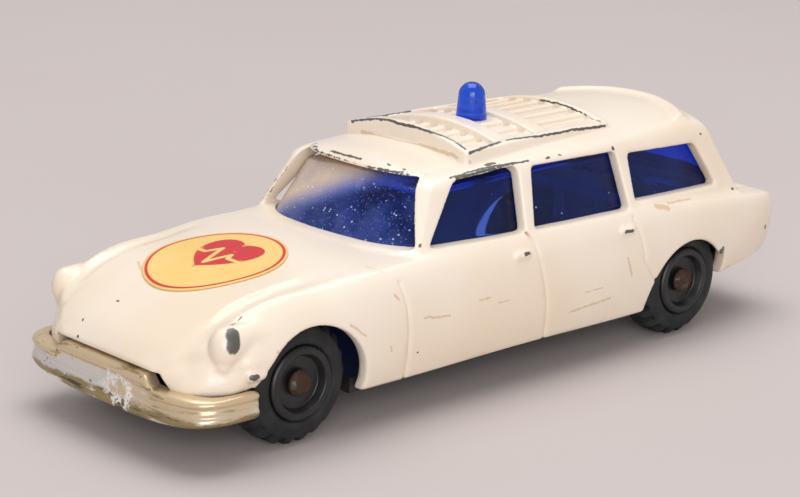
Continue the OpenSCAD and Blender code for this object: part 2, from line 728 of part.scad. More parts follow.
// Label: a thin round sheet that follows the bonnet
label_set = 11.4;
label_x = nose_x - label_set;
label_gap = 0.03;
label_stations = [for (x = stations) if (abs(x - label_x) < label_d) x];
module bonnet_label() {
    color("gold") intersection() {
        translate([label_x, 0, flank_z]) cylinder(d = label_d, h = tall, $fn = 48);
        difference() {
            translate([0, 0, label_gap + label_t]) tub(0, label_stations);
            translate([0, 0, label_gap]) tub(0, label_stations);
        }
    }
}

// Wheels: a hub that runs on the axle's end, and a tyre on the hub
hub_in = track_y - tyre_w;
hub_dish = 0.75;
hub_rim = 0.7;
hub_slope = 0.3;
hub_edge = 0.2;
module on_axle(x, side) {
    translate([x, 0, axle_z]) rotate([90, 0, 0]) mirror([0, 0, side > 0 ? 1 : 0]) children();
}
module hub(x, side) {
    r = hub_d / 2;
    bore = axle_d / 2 + run_gap;
    face = track_y - hub_dish;
    color("black") on_axle(x, side)
        rotate_extrude($fn = fine)
            polygon([
                [bore, hub_in], [r, hub_in], [r, track_y - hub_edge], [r - hub_edge, track_y],
                [r - hub_rim, track_y], [r - hub_rim - hub_slope, face], [bore, face]]);
}
// Tyre: a rounded section with lugs, which are cut round its outer shoulder
tyre_gap = 0.02;
tread_w = 1.2;
slot_w = 0.75;
slot_run = 1.3;
module tyre(x, side) {
    r = axle_z;
    seat = hub_d / 2 + tyre_gap;
    color("black") on_axle(x, side) difference() {
        rotate_extrude($fn = fine)
            polygon([
                [seat, hub_in], [r - 0.9, hub_in], [r, hub_in + 0.5], [r, track_y - tread_w],
                [r - 0.75, track_y - 0.45], [seat + 0.5, track_y - 0.1], [seat, track_y - 0.3]]);
        for (i = [0:lugs - 1])
            rotate(-90 + (i + 0.5) * 360 / lugs)
                translate([r - tread_h, -slot_w / 2, track_y - tread_w - slot_run]) cube([tall, slot_w, tall]);
    }
}

// Axles: wires with domed heads
head_h = 0.75;
head_edge = 0.25;
module axle(x) {
    head_y = track_y - hub_dish + end_gap;
    color("saddlebrown") translate([x, 0, axle_z]) rotate([90, 0, 0]) {
        cylinder(d = axle_d, h = 2 * head_y, center = true, $fn = fine);
        for (s = [0, 1])
            mirror([0, 0, s]) translate([0, 0, head_y])
                rotate_extrude($fn = fine)
                    polygon([
                        [0, 0], [head_d / 2, 0], [head_d / 2, head_edge], [head_d / 3, 0.6], [0, head_h]]);
    }
}

body_shell();
glazing();
roof_beacon();
beacon_clip();
front_bumper();
base_plate();
base_rivets();
bonnet_label();
axle(front_axle_x);  // front_axle
axle(rear_axle_x);  // rear_axle
hub(front_axle_x, 1);  // front_left_hub
hub(front_axle_x, -1);  // front_right_hub
hub(rear_axle_x, 1);  // rear_left_hub
hub(rear_axle_x, -1);  // rear_right_hub
tyre(front_axle_x, 1);  // front_left_tyre
tyre(front_axle_x, -1);  // front_right_tyre
tyre(rear_axle_x, 1);  // rear_left_tyre
tyre(rear_axle_x, -1);  // rear_right_tyre
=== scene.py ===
"""Looks of a pocket die-cast ambulance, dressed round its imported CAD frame."""

import logging
from dataclasses import dataclass, field
from enum import Enum
from functools import reduce
from typing import Any, Optional, Sequence

import bmesh
import bpy
import numpy as np
import openvdb as vdb
from mathutils import Matrix, Vector
from mathutils.bvhtree import BVHTree


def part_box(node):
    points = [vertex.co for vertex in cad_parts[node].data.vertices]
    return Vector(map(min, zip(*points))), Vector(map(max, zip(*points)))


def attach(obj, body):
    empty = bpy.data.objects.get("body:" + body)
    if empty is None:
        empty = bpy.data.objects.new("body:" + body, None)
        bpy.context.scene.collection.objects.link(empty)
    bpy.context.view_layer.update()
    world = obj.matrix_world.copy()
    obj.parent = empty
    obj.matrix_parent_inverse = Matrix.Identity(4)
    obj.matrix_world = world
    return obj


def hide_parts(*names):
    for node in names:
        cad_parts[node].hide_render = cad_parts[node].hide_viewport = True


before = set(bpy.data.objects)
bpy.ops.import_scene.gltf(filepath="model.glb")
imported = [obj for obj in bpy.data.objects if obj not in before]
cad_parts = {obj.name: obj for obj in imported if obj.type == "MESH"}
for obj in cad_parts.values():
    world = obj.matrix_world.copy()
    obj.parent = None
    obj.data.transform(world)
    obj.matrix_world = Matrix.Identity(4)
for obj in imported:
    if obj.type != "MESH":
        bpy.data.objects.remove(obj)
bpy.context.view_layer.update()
MM = 0.001
LOG = logging.getLogger("ambulance")
CHASSIS = "chassis"
# Points closer than the first are one point, and faces thinner than the second are dropped, in millimetres
DOUBLED = 0.0005
THIN = 0.0001
# The most triangles of the casting and of a smaller piece
CASTING_FACES = 195000
PIECE_FACES = 120000
# How far flat faces may be merged: the least comes first, the next where there are still too many triangles
MERGES = (0.001, 0.004, 0.016, 0.03, 0.05, 0.08, 0.12, 0.2)

# Settings that many shader nodes share
SMOOTH = {"interpolation_type": "SMOOTHSTEP"}
COLOUR = {"data_type": "RGBA"}

Array = np.ndarray
Piece = bpy.types.Object
Tree = bpy.types.NodeTree
Pair = tuple[float, float]
Triple = tuple[float, float, float]
Table = Sequence[Sequence[float]]
Spots = tuple[Array, Array, Array]


class End(Enum):
    """The two ends of the car that carry an axle."""

    FRONT = "front"
    REAR = "rear"


class Side(Enum):
    """The two sides of the car; the value is the sign of Y."""

    LEFT = 1
    RIGHT = -1


class Wear(Enum):
    """What a mark on the paint shows."""

    CHIP = "bare metal"
    STAIN = "brown dirt"


def linear(code: str) -> tuple[float, float, float, float]:
    """Turns an sRGB hex colour into linear light, by the sRGB curve.

    Args:
        code: The colour, such as "#efe6d0".

    Returns:
        Red, green, blue and an alpha of 1.
    """
    srgb = np.array([int(code[i:i + 2], 16) for i in (1, 3, 5)]) / 255
    light = np.where(srgb <= 0.04045, srgb / 12.92, ((srgb + 0.055) / 1.055) ** 2.4)
    return (*(float(c) for c in light), 1.0)


def per(size: float) -> float:
    """Texture scale that gives features of about this size in millimetres."""
    return 1 / (size * MM)


def add(tree: Tree, kind: str, inputs: Sequence[Any] | dict = (), **settings: Any) -> bpy.types.Node:
    """Adds a shader node, sets it and links it.

    Args:
        tree: The material's or world's node tree.
        kind: The node's type without its ShaderNode prefix.
        inputs: Values, sockets or nodes (their first output), by socket name or number or in socket order.
        settings: The node's own properties.

    Returns:
        The new node.
    """
    made = tree.nodes.new("ShaderNode" + kind)
    for name, value in settings.items():
        setattr(made, name, value)
    for key, value in inputs.items() if isinstance(inputs, dict) else enumerate(inputs):
        if isinstance(value, bpy.types.Node):
            value = value.outputs[0]
        if isinstance(value, bpy.types.NodeSocket):
            tree.links.new(value, made.inputs[key])
        else:
            made.inputs[key].default_value = value
    return made


def smooth(points: Table, place: Array) -> Array:
    """Cubic Hermite curve through points, with each slope that of the chord between the neighbours.

    Args:
        points: Pairs (place, value) in rising order of place.
        place: Where the curve is read; the ends are held.

    Returns:
        The curve's values.
    """
    x, v = np.asarray(points, float).T
    k = np.arange(len(x))
    low, high = np.maximum(k - 1, 0), np.minimum(k + 1, len(x) - 1)
    slope = (v[high] - v[low]) / (x[high] - x[low])
    i = np.clip(np.searchsorted(x, place, "right") - 1, 0, len(x) - 2)
    w = x[i + 1] - x[i]
    t = np.clip((place - x[i]) / w, 0, 1)
    start = v[i] * (1 + 2 * t) * (1 - t) ** 2 + w * slope[i] * t * (1 - t) ** 2
    return start + v[i + 1] * t * t * (3 - 2 * t) - w * slope[i + 1] * t * t * (1 - t)


def ease(t: Array) -> Array:
    """Smooth step from 0 to 1."""
    c = np.clip(t, 0, 1)
    return c * c * (3 - 2 * c)


def smin(a: Array, b: Array, k: float) -> Array:
    """Union of two distance fields with a fillet: the lesser value, less a square of how near they are."""
    h = np.maximum(k - np.abs(a - b), 0) / k
    return np.minimum(a, b) - h * h * (k / 4)


def smax(a: Array, b: Array, k: float) -> Array:
    """Intersection of two distance fields with a rounded edge: the mirror of smin."""
    return -smin(-a, -b, k)


def convex_field(corners: Table, u: Array, v: Array, k: float) -> Array:
    """Distance field of a convex outline: the rounded maximum of the distances from its sides.

    Args:
        corners: The outline's corners (u, v) in order.
        u: First coordinate.
        v: Second coordinate.
        k: How wide the corners are rounded, in millimetres.

    Returns:
        The field, negative inside.
    """
    p = np.asarray(corners, float)
    q = np.roll(p, -1, 0)
    turn = np.sign(np.sum(p[:, 0] * q[:, 1] - q[:, 0] * p[:, 1]))
    sides = []
    for a, b in zip(p, q):
        e = (b - a) / np.linalg.norm(b - a) * turn
        sides.append(((u - a[0]) * e[1] - (v - a[1]) * e[0]).astype(np.float32))
    return reduce(lambda made, side: smax(made, side, k), sides)


def path_field(points: Table, u: Array, v: Array) -> Array:
    """Distance from an open line of straight pieces: the least of the distances from its pieces.

    Args:
        points: The line's points (u, v) in order.
        u: First coordinate.
        v: Second coordinate.

    Returns:
        The distance.
    """
    p = np.asarray(points, float)
    far = []
    for a, b in zip(p[:-1], p[1:]):
        e = b - a
        t = np.clip(((u - a[0]) * e[0] + (v - a[1]) * e[1]) / (e @ e), 0, 1)
        far.append(np.hypot(u - a[0] - t * e[0], v - a[1] - t * e[1]))
    return reduce(np.minimum, far)


def rounded(points: Table, radius: float, closed: bool, steps: int = 6) -> Array:
    """Outline with rounded corners: each gives way to a parabola that leaves the sides a radius away.

    Args:
        points: The outline's corners.
        radius: How far from a corner the rounding starts, at most 0.45 of a side.
        closed: Whether the last corner joins the first.
        steps: Points on each rounding.

    Returns:
        The rounded outline's points.
    """
    p = np.asarray(points, float)
    before, after = np.roll(p, 1, 0), np.roll(p, -1, 0)

    def towards(other: Array) -> Array:
        """Point near each corner on the way to its neighbour."""
        run = np.linalg.norm(other - p, axis=1, keepdims=True)
        return p + (other - p) * np.minimum(radius / np.maximum(run, 1e-9), 0.45)

    a, b = towards(before), towards(after)
    t = np.linspace(0, 1, steps)[None, :, None]
    curve = a[:, None] * (1 - t) ** 2 + 2 * p[:, None] * t * (1 - t) + b[:, None] * t * t
    if closed:
        return curve.reshape(-1, p.shape[1])
    return np.concatenate([p[:1], curve[1:-1].reshape(-1, p.shape[1]), p[-1:]])


def grid_quads(rows: int, columns: int, wrap_rows: bool = False, wrap_columns: bool = False) -> Array:
    """Four-cornered faces of a grid of points, closed round on itself where asked.

    Args:
        rows: Rows of points.
        columns: Points in each row.
        wrap_rows: Whether the last row joins the first.
        wrap_columns: Whether each row's last point joins its first.

    Returns:
        The corners' numbers, four to a face.
    """
    i = np.arange(rows if wrap_rows else rows - 1)[:, None]
    j = np.arange(columns if wrap_columns else columns - 1)[None, :]
    i2, j2 = (i + 1) % rows, (j + 1) % columns
    return np.stack(np.broadcast_arrays(
        i * columns + j, i2 * columns + j, i2 * columns + j2, i * columns + j2), -1).reshape(-1, 4)


def new_object(name: str, points: Array, quads: Array, tris: Optional[Array] = None) -> Piece:
    """Makes a smooth-shaded mesh object at the origin.

    Args:
        name: The piece's name.
        points: Places in millimetres, one row each.
        quads: Four-cornered faces.
        tris: Three-cornered faces.

    Returns:
        The object, linked to the scene.
    """
    tris = np.zeros((0, 3), int) if tris is None else tris
    mesh = bpy.data.meshes.new(name)
    mesh.vertices.add(len(points))
    mesh.vertices.foreach_set("co", (np.asarray(points) * MM).astype(np.float32).ravel())
    loops = np.concatenate([quads.ravel(), tris.ravel()]).astype(np.int32)
    sizes = np.concatenate([np.full(len(quads), 4), np.full(len(tris), 3)]).astype(np.int32)
    mesh.loops.add(len(loops))
    mesh.loops.foreach_set("vertex_index", loops)
    mesh.polygons.add(len(sizes))
    mesh.polygons.foreach_set("loop_start", (np.cumsum(sizes) - sizes).astype(np.int32))
    mesh.update(calc_edges=True)
    mesh.validate()
    mesh.polygons.foreach_set("use_smooth", np.ones(len(mesh.polygons), bool))
    made = bpy.data.objects.new(name, mesh)
    bpy.context.collection.objects.link(made)
    return made


def close_up(made: Piece) -> None:
    """Merges the doubled points of seams and poles and turns the faces outwards.

    Args:
        made: The piece.
    """
    work = bmesh.new()
    work.from_mesh(made.data)
    bmesh.ops.remove_doubles(work, verts=work.verts, dist=DOUBLED * MM)
    bmesh.ops.dissolve_degenerate(work, edges=work.edges, dist=THIN * MM)
    bmesh.ops.recalc_face_normals(work, faces=work.faces)
    work.to_mesh(made.data)
    work.free()


def places(made: Piece) -> Array:
    """Places of a mesh's points.

    Args:
        made: The piece.

    Returns:
        The places in millimetres, one row each.
    """
    spots = np.empty(len(made.data.vertices) * 3, np.float32)
    made.data.vertices.foreach_get("co", spots)
    return spots.reshape(-1, 3) / MM


def give_values(made: Piece, name: str, values: Array) -> None:
    """Stores one number per point, for the material to read."""
    held = made.data.attributes.new(name, "FLOAT", "POINT")
    held.data.foreach_set("value", values.astype(np.float32))


def turned(name: str, outline: Array, centre: Sequence[float], axis: str, closed: bool, steps: int,
           shape: Optional[Any] = None) -> Piece:
    """Surface of revolution: an outline (radius, distance along the axis) carried round an axis.

    Args:
        name: The piece's name.
        outline: The outline's points, in millimetres.
        centre: A point on the axis.
        axis: "y" or "z".
        closed: Whether the outline is a closed loop, as on a ring.
        steps: Points round the axis.
        shape: Changes the radius: a function of radius, distance along and angle.

    Returns:
        The object.
    """
    angle = np.linspace(0, 2 * np.pi, steps, endpoint=False)[:, None]
    radius, along = outline[None, :, 0] + 0 * angle, outline[None, :, 1] + 0 * angle
    if shape is not None:
        radius = shape(radius, along, angle)
    a, b = radius * np.cos(angle), radius * np.sin(angle)
    spots = {"y": (a, along, b), "z": (a, b, along)}[axis]
    points = np.stack(spots, -1) + np.asarray(centre, float)
    made = new_object(name, points.reshape(-1, 3), grid_quads(steps, len(outline), True, closed))
    close_up(made)
    return made


@dataclass
class FieldGrid:
    """Box of evenly spaced points on which solids are added and cut as distance fields."""

    low: Sequence[float]
    high: Sequence[float]
    step: float

    def __post_init__(self) -> None:
        """Works out the first index and the number of points each way."""
        self.first = np.floor(np.asarray(self.low) / self.step).astype(int)
        self.count = np.ceil(np.asarray(self.high) / self.step).astype(int) - self.first + 1

    def axes(self) -> Spots:
        """The grid's places along each axis.

        Returns:
            X, Y and Z in millimetres, shaped to combine into the box.
        """
        x, y, z = ((f + np.arange(n)) * np.float32(self.step) for f, n in zip(self.first, self.count))
        return (x[:, None, None].astype(np.float32), y[None, :, None].astype(np.float32),
                z[None, None, :].astype(np.float32))

    def level_set(self, points: Array, quads: Array, tris: Optional[Array] = None, band: float = 8.0) -> Array:
        """Signed distances from a closed surface, held at the band's value further away.

        Args:
            points: The surface's points, in millimetres.
            quads: Four-cornered faces.
            tris: Three-cornered faces.
            band: How many steps each side of the surface the distances reach.

        Returns:
            The field on the grid.
        """
        tris = np.zeros((0, 3)) if tris is None else tris
        grid = vdb.FloatGrid.createLevelSetFromPolygons(
            points.astype(np.float32), triangles=tris.astype(np.uint32), quads=quads.astype(np.uint32),
            transform=vdb.createLinearTransform(voxelSize=self.step), halfWidth=band)
        made = np.zeros(tuple(self.count), np.float32)
        grid.copyToArray(made, ijk=tuple(int(i) for i in self.first))
        return made

    def mirrored(self, values: Array) -> tuple["FieldGrid", Array]:
        """Completes a field whose grid starts at Y = 0 with its mirror image.

        Args:
            values: The field of the left half.

        Returns:
            The whole grid and the field on it.
        """
        low = (self.low[0], -self.high[1], self.low[2])
        whole = FieldGrid(low, self.high, self.step)
        whole.first[1] = 1 - self.count[1]
        whole.count[1] = 2 * self.count[1] - 1
        return whole, np.concatenate([values[:, :0:-1], values], 1)

    def sample(self, values: Array, points: Array) -> Array:
        """Field at any places, by mixing the eight grid points round each.

        Args:
            values: The field.
            points: Places in millimetres, one row each.

        Returns:
            The field's value at each place.
        """
        place = points / self.step - self.first
        place = np.clip(place, 0, np.asarray(values.shape) - 1.001)
        i = place.astype(int)
        f = place - i
        made = np.zeros(len(points))
        for a in (0, 1):
            for b in (0, 1):
                for c in (0, 1):
                    share = (np.where(a, f[:, 0], 1 - f[:, 0]) * np.where(b, f[:, 1], 1 - f[:, 1])
                             * np.where(c, f[:, 2], 1 - f[:, 2]))
                    made += share * values[i[:, 0] + a, i[:, 1] + b, i[:, 2] + c]
        return made

    def normals(self, values: Array, points: Array) -> Array:
        """Outward directions: the field's slopes, from differences one step each way.

        Args:
            values: The field.
            points: Places in millimetres, one row each.

        Returns:
            A direction of length 1 for each place.
        """
        made = np.stack([self.sample(values, points + d) - self.sample(values, points - d)
                         for d in np.eye(3) * self.step], -1)
        return made / np.maximum(np.linalg.norm(made, axis=1, keepdims=True), 1e-9)

    def skin(self, name: str, values: Array, most: int) -> tuple[Piece, Array, Array]:
        """Surface where the field is zero, with larger faces where it is flat.

        Args:
            name: The piece's name.
            values: The field.
            most: The most triangles; the faces are merged further until it is met.

        Returns:
            The object, its points in millimetres and its outward directions.
        """
        band = 4 * self.step
        grid = vdb.FloatGrid(band)
        grid.copyFromArray(np.clip(values, -band, band), tolerance=0.0)
        for merge in MERGES:
            points, tris, quads = grid.convertToPolygons(isovalue=0.0, adaptivity=merge)
            if len(tris) + 2 * len(quads) < most:
                break
        points = (points + self.first) * self.step
        quads, tris = quads.astype(int), tris.astype(int)
        a, b, c = (points[quads[:, k]] for k in range(3))
        if np.einsum("ij,ij->", np.cross(b - a, c - a), self.normals(values, a)) < 0:
            quads, tris = quads[:, ::-1], tris[:, ::-1]
        made = new_object(name, points, quads, tris)
        points = places(made)
        out = self.normals(values, points)
        made.data.normals_split_custom_set_from_vertices(out)
        return made, points, out


def soften(values: Array) -> Array:
    """Rounds a field's edges as thick paint does: each value is mixed 1-2-1 with its neighbours each way.

    Args:
        values: The field.

    Returns:
        The softened field.
    """
    made = values.copy()
    for axis in range(3):
        m = np.moveaxis(made, axis, 0)
        m[1:-1] = (m[:-2] + 2 * m[1:-1] + m[2:]) / 4
    return made


@dataclass(frozen=True)
class Car:
    """Driving sizes of the car in millimetres, in the frame's axes: X forward, Y left, Z up."""

    length: float = 74.6
    width: float = 25.4
    sill_z: float = 3.6
    flank_z: float = 8.6
    belt_z: float = 14.2
    roof_z: float = 21.3
    wall: float = 1.2
    nose_set: float = 0.5
    wheelbase: float = 47.3
    front_overhang: float = 11.9
    tyre_d: float = 10.8

    @property
    def half_w(self) -> float:
        """Half the width."""
        return self.width / 2

    @property
    def bumper_x(self) -> float:
        """Foremost place of the bumper."""
        return self.length / 2

    @property
    def nose_x(self) -> float:
        """Foremost place of the casting."""
        return self.bumper_x - self.nose_set

    @property
    def tail_x(self) -> float:
        """Rearmost place."""
        return -self.length / 2

    @property
    def axle_z(self) -> float:
        """Height of the axles."""
        return self.tyre_d / 2

    def axle_x(self, end: End) -> float:
        """Place of an axle."""
        front = self.bumper_x - self.front_overhang
        return front if end is End.FRONT else front - self.wheelbase


CAR = Car()


@dataclass(frozen=True)
class Line:
    """A value that changes along the car, as points (distance, value) from the nose and from the tail."""

    front: Table
    rear: Table

    def at(self, x: Array) -> Array:
        """Value at X: by the distance from the nose in the front half, else from the tail."""
        return np.where(x > 0, smooth(self.front, CAR.nose_x - x), smooth(self.rear, x - CAR.tail_x))


def loft(half: Array) -> tuple[Array, Array]:
    """Closed solid through half rings that end on the middle plane, mirrored and capped at both ends.

    Args:
        half: Points of the half rings, rings by points by three, on the left of the middle plane.

    Returns:
        Points and four-cornered faces.
    """
    rings, n = half.shape[:2]
    half = half.copy()
    half[..., 1] = np.maximum(half[..., 1], 1e-4)
    other = half[:, ::-1] * np.array([1, -1, 1])
    points = np.concatenate([half, other], 1)
    i = np.arange(n - 1)
    caps = [base + np.stack([i, i + 1, 2 * n - 2 - i, 2 * n - 1 - i], -1)
            for base in (0, (rings - 1) * 2 * n)]
    return points.reshape(-1, 3), np.concatenate([grid_quads(rings, 2 * n, False, True), *caps])


@dataclass(frozen=True)
class Tub:
    """Lower body: a section that changes from tail to nose.

    The flank lies inset from the full width; the ridge of the wing and the middle of the bonnet or tail lie
    below the belt; the ridge lies a roll inside the flank, with a valley beside the bonnet; the lower edge
    lies a hem above the sill. The facet flattens the wing's front corner.
    """

    inset: Line = Line(((0, 5.7), (0.6, 4.5), (1, 3.5), (1.7, 2.2), (2.7, 1.15), (4, 0.45), (6, 0.1), (9, 0),
                        (37, 0)),
                       ((0, 4.6), (0.6, 3.2), (1.4, 2.3), (2.6, 1.75), (5, 1.2), (9, 0.75), (15, 0.35),
                        (27, 0.05), (37, 0)))
    top: Line = Line(((0, -6.3), (0.5, -5.5), (1.2, -4.7), (2.5, -3.75), (4, -2.9), (6, -1.95), (9, -1.15),
                      (13, -0.5), (19, -0.05), (37, -0.1)),
                     ((0, -4.3), (0.6, -3), (1.4, -2.45), (2.6, -2.2), (5, -1.9), (9, -1.3), (15, -0.8),
                      (27, -0.3), (37, -0.1)))
    ridge: Line = Line(((0, -6.4), (1.2, -5.3), (2.5, -4.25), (4, -3.15), (6, -2.05), (9, -1.3), (13, -1.1),
                        (19, -0.7), (37, -0.5)),
                       ((0, -4.6), (0.6, -3.2), (1.4, -2.6), (2.6, -2.3), (5, -2), (9, -1.5), (15, -1),
                        (27, -0.6), (37, -0.5)))
    roll: Line = Line(((0, 1.2), (2.5, 1.8), (4, 2), (6, 2.2), (13, 2.1), (19, 1.8), (37, 1.7)),
                      ((0, 0.8), (2, 0.8), (9, 0.9), (20, 1.3), (37, 1.7)))
    valley: Line = Line(((0, 0), (2.5, 0.1), (4, 0.2), (6, 0.4), (9, 0.45), (13, 0.2), (19, 0), (37, 0)),
                        ((0, 0), (37, 0)))
    hem: Line = Line(((0, 2.4), (6, 2.4), (9, 1.2), (13, 0), (37, 0)),
                     ((0, 2.6), (2, 2.2), (6, 1.8), (10, 1.3), (15, 0), (37, 0)))
    flank_up: Line = Line(((0, 0), (37, 0)), ((0, 1.2), (9, 1.6), (20, 0.6), (30, 0), (37, 0)))
    facet: Line = Line(((0, 0.85), (4, 0.85), (7, 0.4), (13, 0.2), (19, 0), (37, 0)), ((0, 0), (37, 0)))
    bonnet_edge: float = 0.8
    tuck: float = 0.95
    hem_t: float = 0.3
    roll_h: float = 0.6
    below: float = 3
    end_run: float = 6
    end_step: float = 0.12
    body_step: float = 0.8

    def stations(self) -> Array:
        """Places of the sections, closer together near the nose and the tail.

        Returns:
            The places in X, from tail to nose.
        """
        ends = np.arange(0, self.end_run, self.end_step)
        middle = np.arange(CAR.tail_x + self.end_run, CAR.nose_x - self.end_run, self.body_step)
        return np.concatenate([CAR.tail_x + ends, middle, (CAR.nose_x - ends)[::-1]])

    def dip(self, u: Array) -> Array:
        """Share of the valley's depth: 6.75 t times (1 - t) squared, which peaks at 1, from edge to ridge."""
        t = np.maximum(0, (u - self.bonnet_edge) / (1 - self.bonnet_edge))
        return 6.75 * t * (1 - t) ** 2

    def top_at(self, x: Array, y: Array) -> Array:
        """Height of the bonnet: a parabola from the middle to the ridge, less the valley.

        Args:
            x: Places along the car.
            y: Places across it.

        Returns:
            The heights.
        """
        yr = CAR.half_w - self.inset.at(x) - self.roll.at(x)
        u = np.abs(y) / yr
        low, high = self.top.at(x), self.ridge.at(x)
        return CAR.belt_z + low + (high - low) * u ** 2 - self.valley.at(x) * self.dip(u)

    def solid(self, w: float) -> tuple[Array, Array]:
        """Closed surface of the tub, drawn in by a wall.

        The lower flank is a parabola that tucks in to the sill, the upper flank a quarter ellipse, at the
        front drawn towards its chord as a flat facet, the top as in top_at.

        Args:
            w: The wall, 0 for the outside.

        Returns:
            Points and faces.
        """
        x = self.stations()[:, None]
        ym = CAR.half_w - self.inset.at(x) - w
        yr = ym - self.roll.at(x)
        zr = CAR.belt_z + self.ridge.at(x) - w
        zc = CAR.belt_z + self.top.at(x) - w
        zb = CAR.sill_z + self.hem.at(x)
        zm = np.minimum(CAR.flank_z + self.flank_up.at(x), zr - self.roll_h)
        t = np.linspace(1, 0, 14)[None, :-1]
        a = np.linspace(0, np.pi / 2, 24)[None]
        u = np.linspace(1, 0, 101)[None, 1:]
        flat, up = self.facet.at(x), a * 2 / np.pi
        across = np.cos(a) + flat * (1 - up - np.cos(a))
        rise = np.sin(a) + flat * (up - np.sin(a))
        lip = self.hem_t if w == 0 else 0
        drop = 0 if w == 0 else self.below
        y = np.concatenate([ym - self.tuck - lip, ym - self.tuck * t ** 2,
                            yr + (ym - yr) * across, yr * u], 1)
        z = np.concatenate([zb - drop, zm - (zm - zb - self.hem_t / 2) * t, zm + (zr - zm) * rise,
                            zc + (zr - zc) * u ** 2 - self.valley.at(x) * self.dip(u)], 1)
        shrink = 1 - 2 * w / (CAR.nose_x - CAR.tail_x)
        return loft(np.stack([x * shrink + 0 * y, y, z], -1))


@dataclass(frozen=True)
class Cabin:
    """Upper body: an outline that leans in with height, under a crowned roof. Pairs are values at the belt and
    at the roof's edge."""

    half_y: float = 11.35
    lean: float = 1.9
    screen_set: float = 21.7
    gate_set: float = 5.3
    crown_h: float = 1.5
    sink: float = 2.6
    over: float = 2.4
    screen_rake: float = 0.82
    gate_rake: float = 0.63
    front_narrow: Pair = (0.75, 0.6)
    front_sweep: Pair = (3.3, 1.7)
    rear_narrow: Pair = (1.5, 0.9)
    rear_sweep: Pair = (2.2, 1.6)
    brow_in: float = 1.2
    brow_start: float = 1.4
    brow_h: float = 3.2
    brow_slant: float = 1.3
    crown_y: float = 8
    roof_crown: float = 1
    roof: Line = Line(((18, -3.9), (27, -1.1), (33, -0.55), (37, -0.37)),
                      ((1, -3.9), (8, -1), (11, -0.35), (14, -0.05), (22, -0.1), (32, -0.2), (37, -0.37)))

    @property
    def edge_z(self) -> float:
        """Height of the roof's edge."""
        return CAR.roof_z - self.crown_h

    @property
    def screen_x(self) -> float:
        """Foot of the windscreen."""
        return CAR.nose_x - self.screen_set

    @property
    def gate_x(self) -> float:
        """Foot of the tailgate glass."""
        return CAR.tail_x + self.gate_set

    def roof_at(self, x: Array, y: Array) -> Array:
        """Height of the roof: a line along the car, less a parabola across it."""
        return CAR.roof_z + self.roof.at(x) - self.roof_crown * (y / self.crown_y) ** 2

    def solid(self, w: float) -> tuple[Array, Array]:
        """Closed surface of the cabin, drawn in by a wall, carried past the roof.

        The outline's front bows back with the second and sixth powers of the distance from the middle, its
        side is a parabola and its rear goes by the fourth power; a square-law brow rounds it in near the roof.

        Args:
            w: The wall, 0 for the outside.

        Returns:
            Points and faces.
        """
        z = np.linspace(CAR.belt_z - self.sink, self.edge_z + self.over, 60)[:, None]
        t = (z - CAR.belt_z) / (self.edge_z - CAR.belt_z)
        brow = self.brow_in * np.maximum(0, (z - self.edge_z + self.brow_start) / self.brow_h) ** 2

        def pair(values: Pair) -> Array:
            """Value at each height."""
            return values[0] + (values[1] - values[0]) * t

        y_full = self.half_y - self.lean * t - w - brow
        xf = self.screen_x - self.screen_rake * (z - CAR.belt_z) - w - self.brow_slant * brow
        yf, sf = y_full - pair(self.front_narrow), pair(self.front_sweep)
        xr = self.gate_x + self.gate_rake * (z - CAR.belt_z) + w + self.brow_slant * brow
        yr, sr = y_full - pair(self.rear_narrow), pair(self.rear_sweep)
        bulge = y_full - (yf + yr) / 2
        s = np.linspace(0, 1, 30)[None]
        m = np.linspace(0, 1, 60)[None, 1:-1]
        r = s[:, ::-1]
        x = np.concatenate([xf - sf * (0.6 * s ** 2 + 0.4 * s ** 6), (xf - sf) * (1 - m) + (xr + sr) * m,
                            xr + sr * r ** 4], 1)
        y = np.concatenate([yf * s, yf * (1 - m) + yr * m + bulge * 4 * m * (1 - m), yr * r], 1)
        return loft(np.stack([x, y, z + 0 * x], -1))


@dataclass(frozen=True)
class Rack:
    """Rack cast on the roof: a rim, two crossbars and low slats."""

    front_set: float = 32.6
    length: float = 19.4
    half_y: float = 8
    taper: float = 0.9
    height: float = 0.75
    rim_w: float = 0.8
    bar_w: float = 1.9
    bar_drop: float = 0.22
    bar_sets: Pair = (5.6, 11)
    slat_h: float = 0.4
    slat_pitch: float = 1.9
    crown: float = 1.35
    sink: float = 0.3
    fall: Table = ((0, 0.25), (9.4, 0.2), (19.4, -0.05))
    corner_round: float = 0.5
    inner_round: float = 0.1
    top_round: float = 0.15
    slat_round: float = 0.12

    @property
    def front_x(self) -> float:
        """Front of the rim."""
        return CAR.nose_x - self.front_set

    def fields(self, cabin: Cabin, at: Spots) -> tuple[Array, Array]:
        """Distance fields of the rim with its bars, and of the slats.

        Args:
            cabin: The cabin under the rack.
            at: The grid's X, Y and Z places.

        Returns:
            The two fields.
        """
        x, y, z = at
        back = self.front_x - self.length
        plan = convex_field(((self.front_x, -self.half_y), (self.front_x, self.half_y),
                             (back, self.half_y - self.taper), (back, self.taper - self.half_y)),
                            x, y, self.corner_round)
        bars = np.minimum(*(np.abs(x - (self.front_x - d)) - self.bar_w / 2 for d in self.bar_sets))
        ring, across = smax(plan, -(plan + self.rim_w), self.inner_round), np.maximum(bars, plan)
        top = CAR.roof_z + self.height + smooth(self.fall, self.front_x - x)
        top = top - self.crown * (y / cabin.crown_y) ** 2
        root = cabin.edge_z - self.sink - z
        over = (z - top).astype(np.float32)
        rim = np.minimum(smax(ring + 0 * z, over, self.top_round),
                         smax(across + 0 * z, over + self.bar_drop, self.top_round))
        rim = np.maximum(rim, root)
        wave = np.abs((y / self.slat_pitch + 0.5) % 1 - 0.5) * self.slat_pitch - self.slat_pitch / 4
        slats = np.maximum(wave, plan + self.rim_w / 2)
        floor = (z - cabin.roof_at(x, y) - self.slat_h).astype(np.float32)
        return rim, np.maximum(smax(slats + 0 * z, floor, self.slat_round), root)


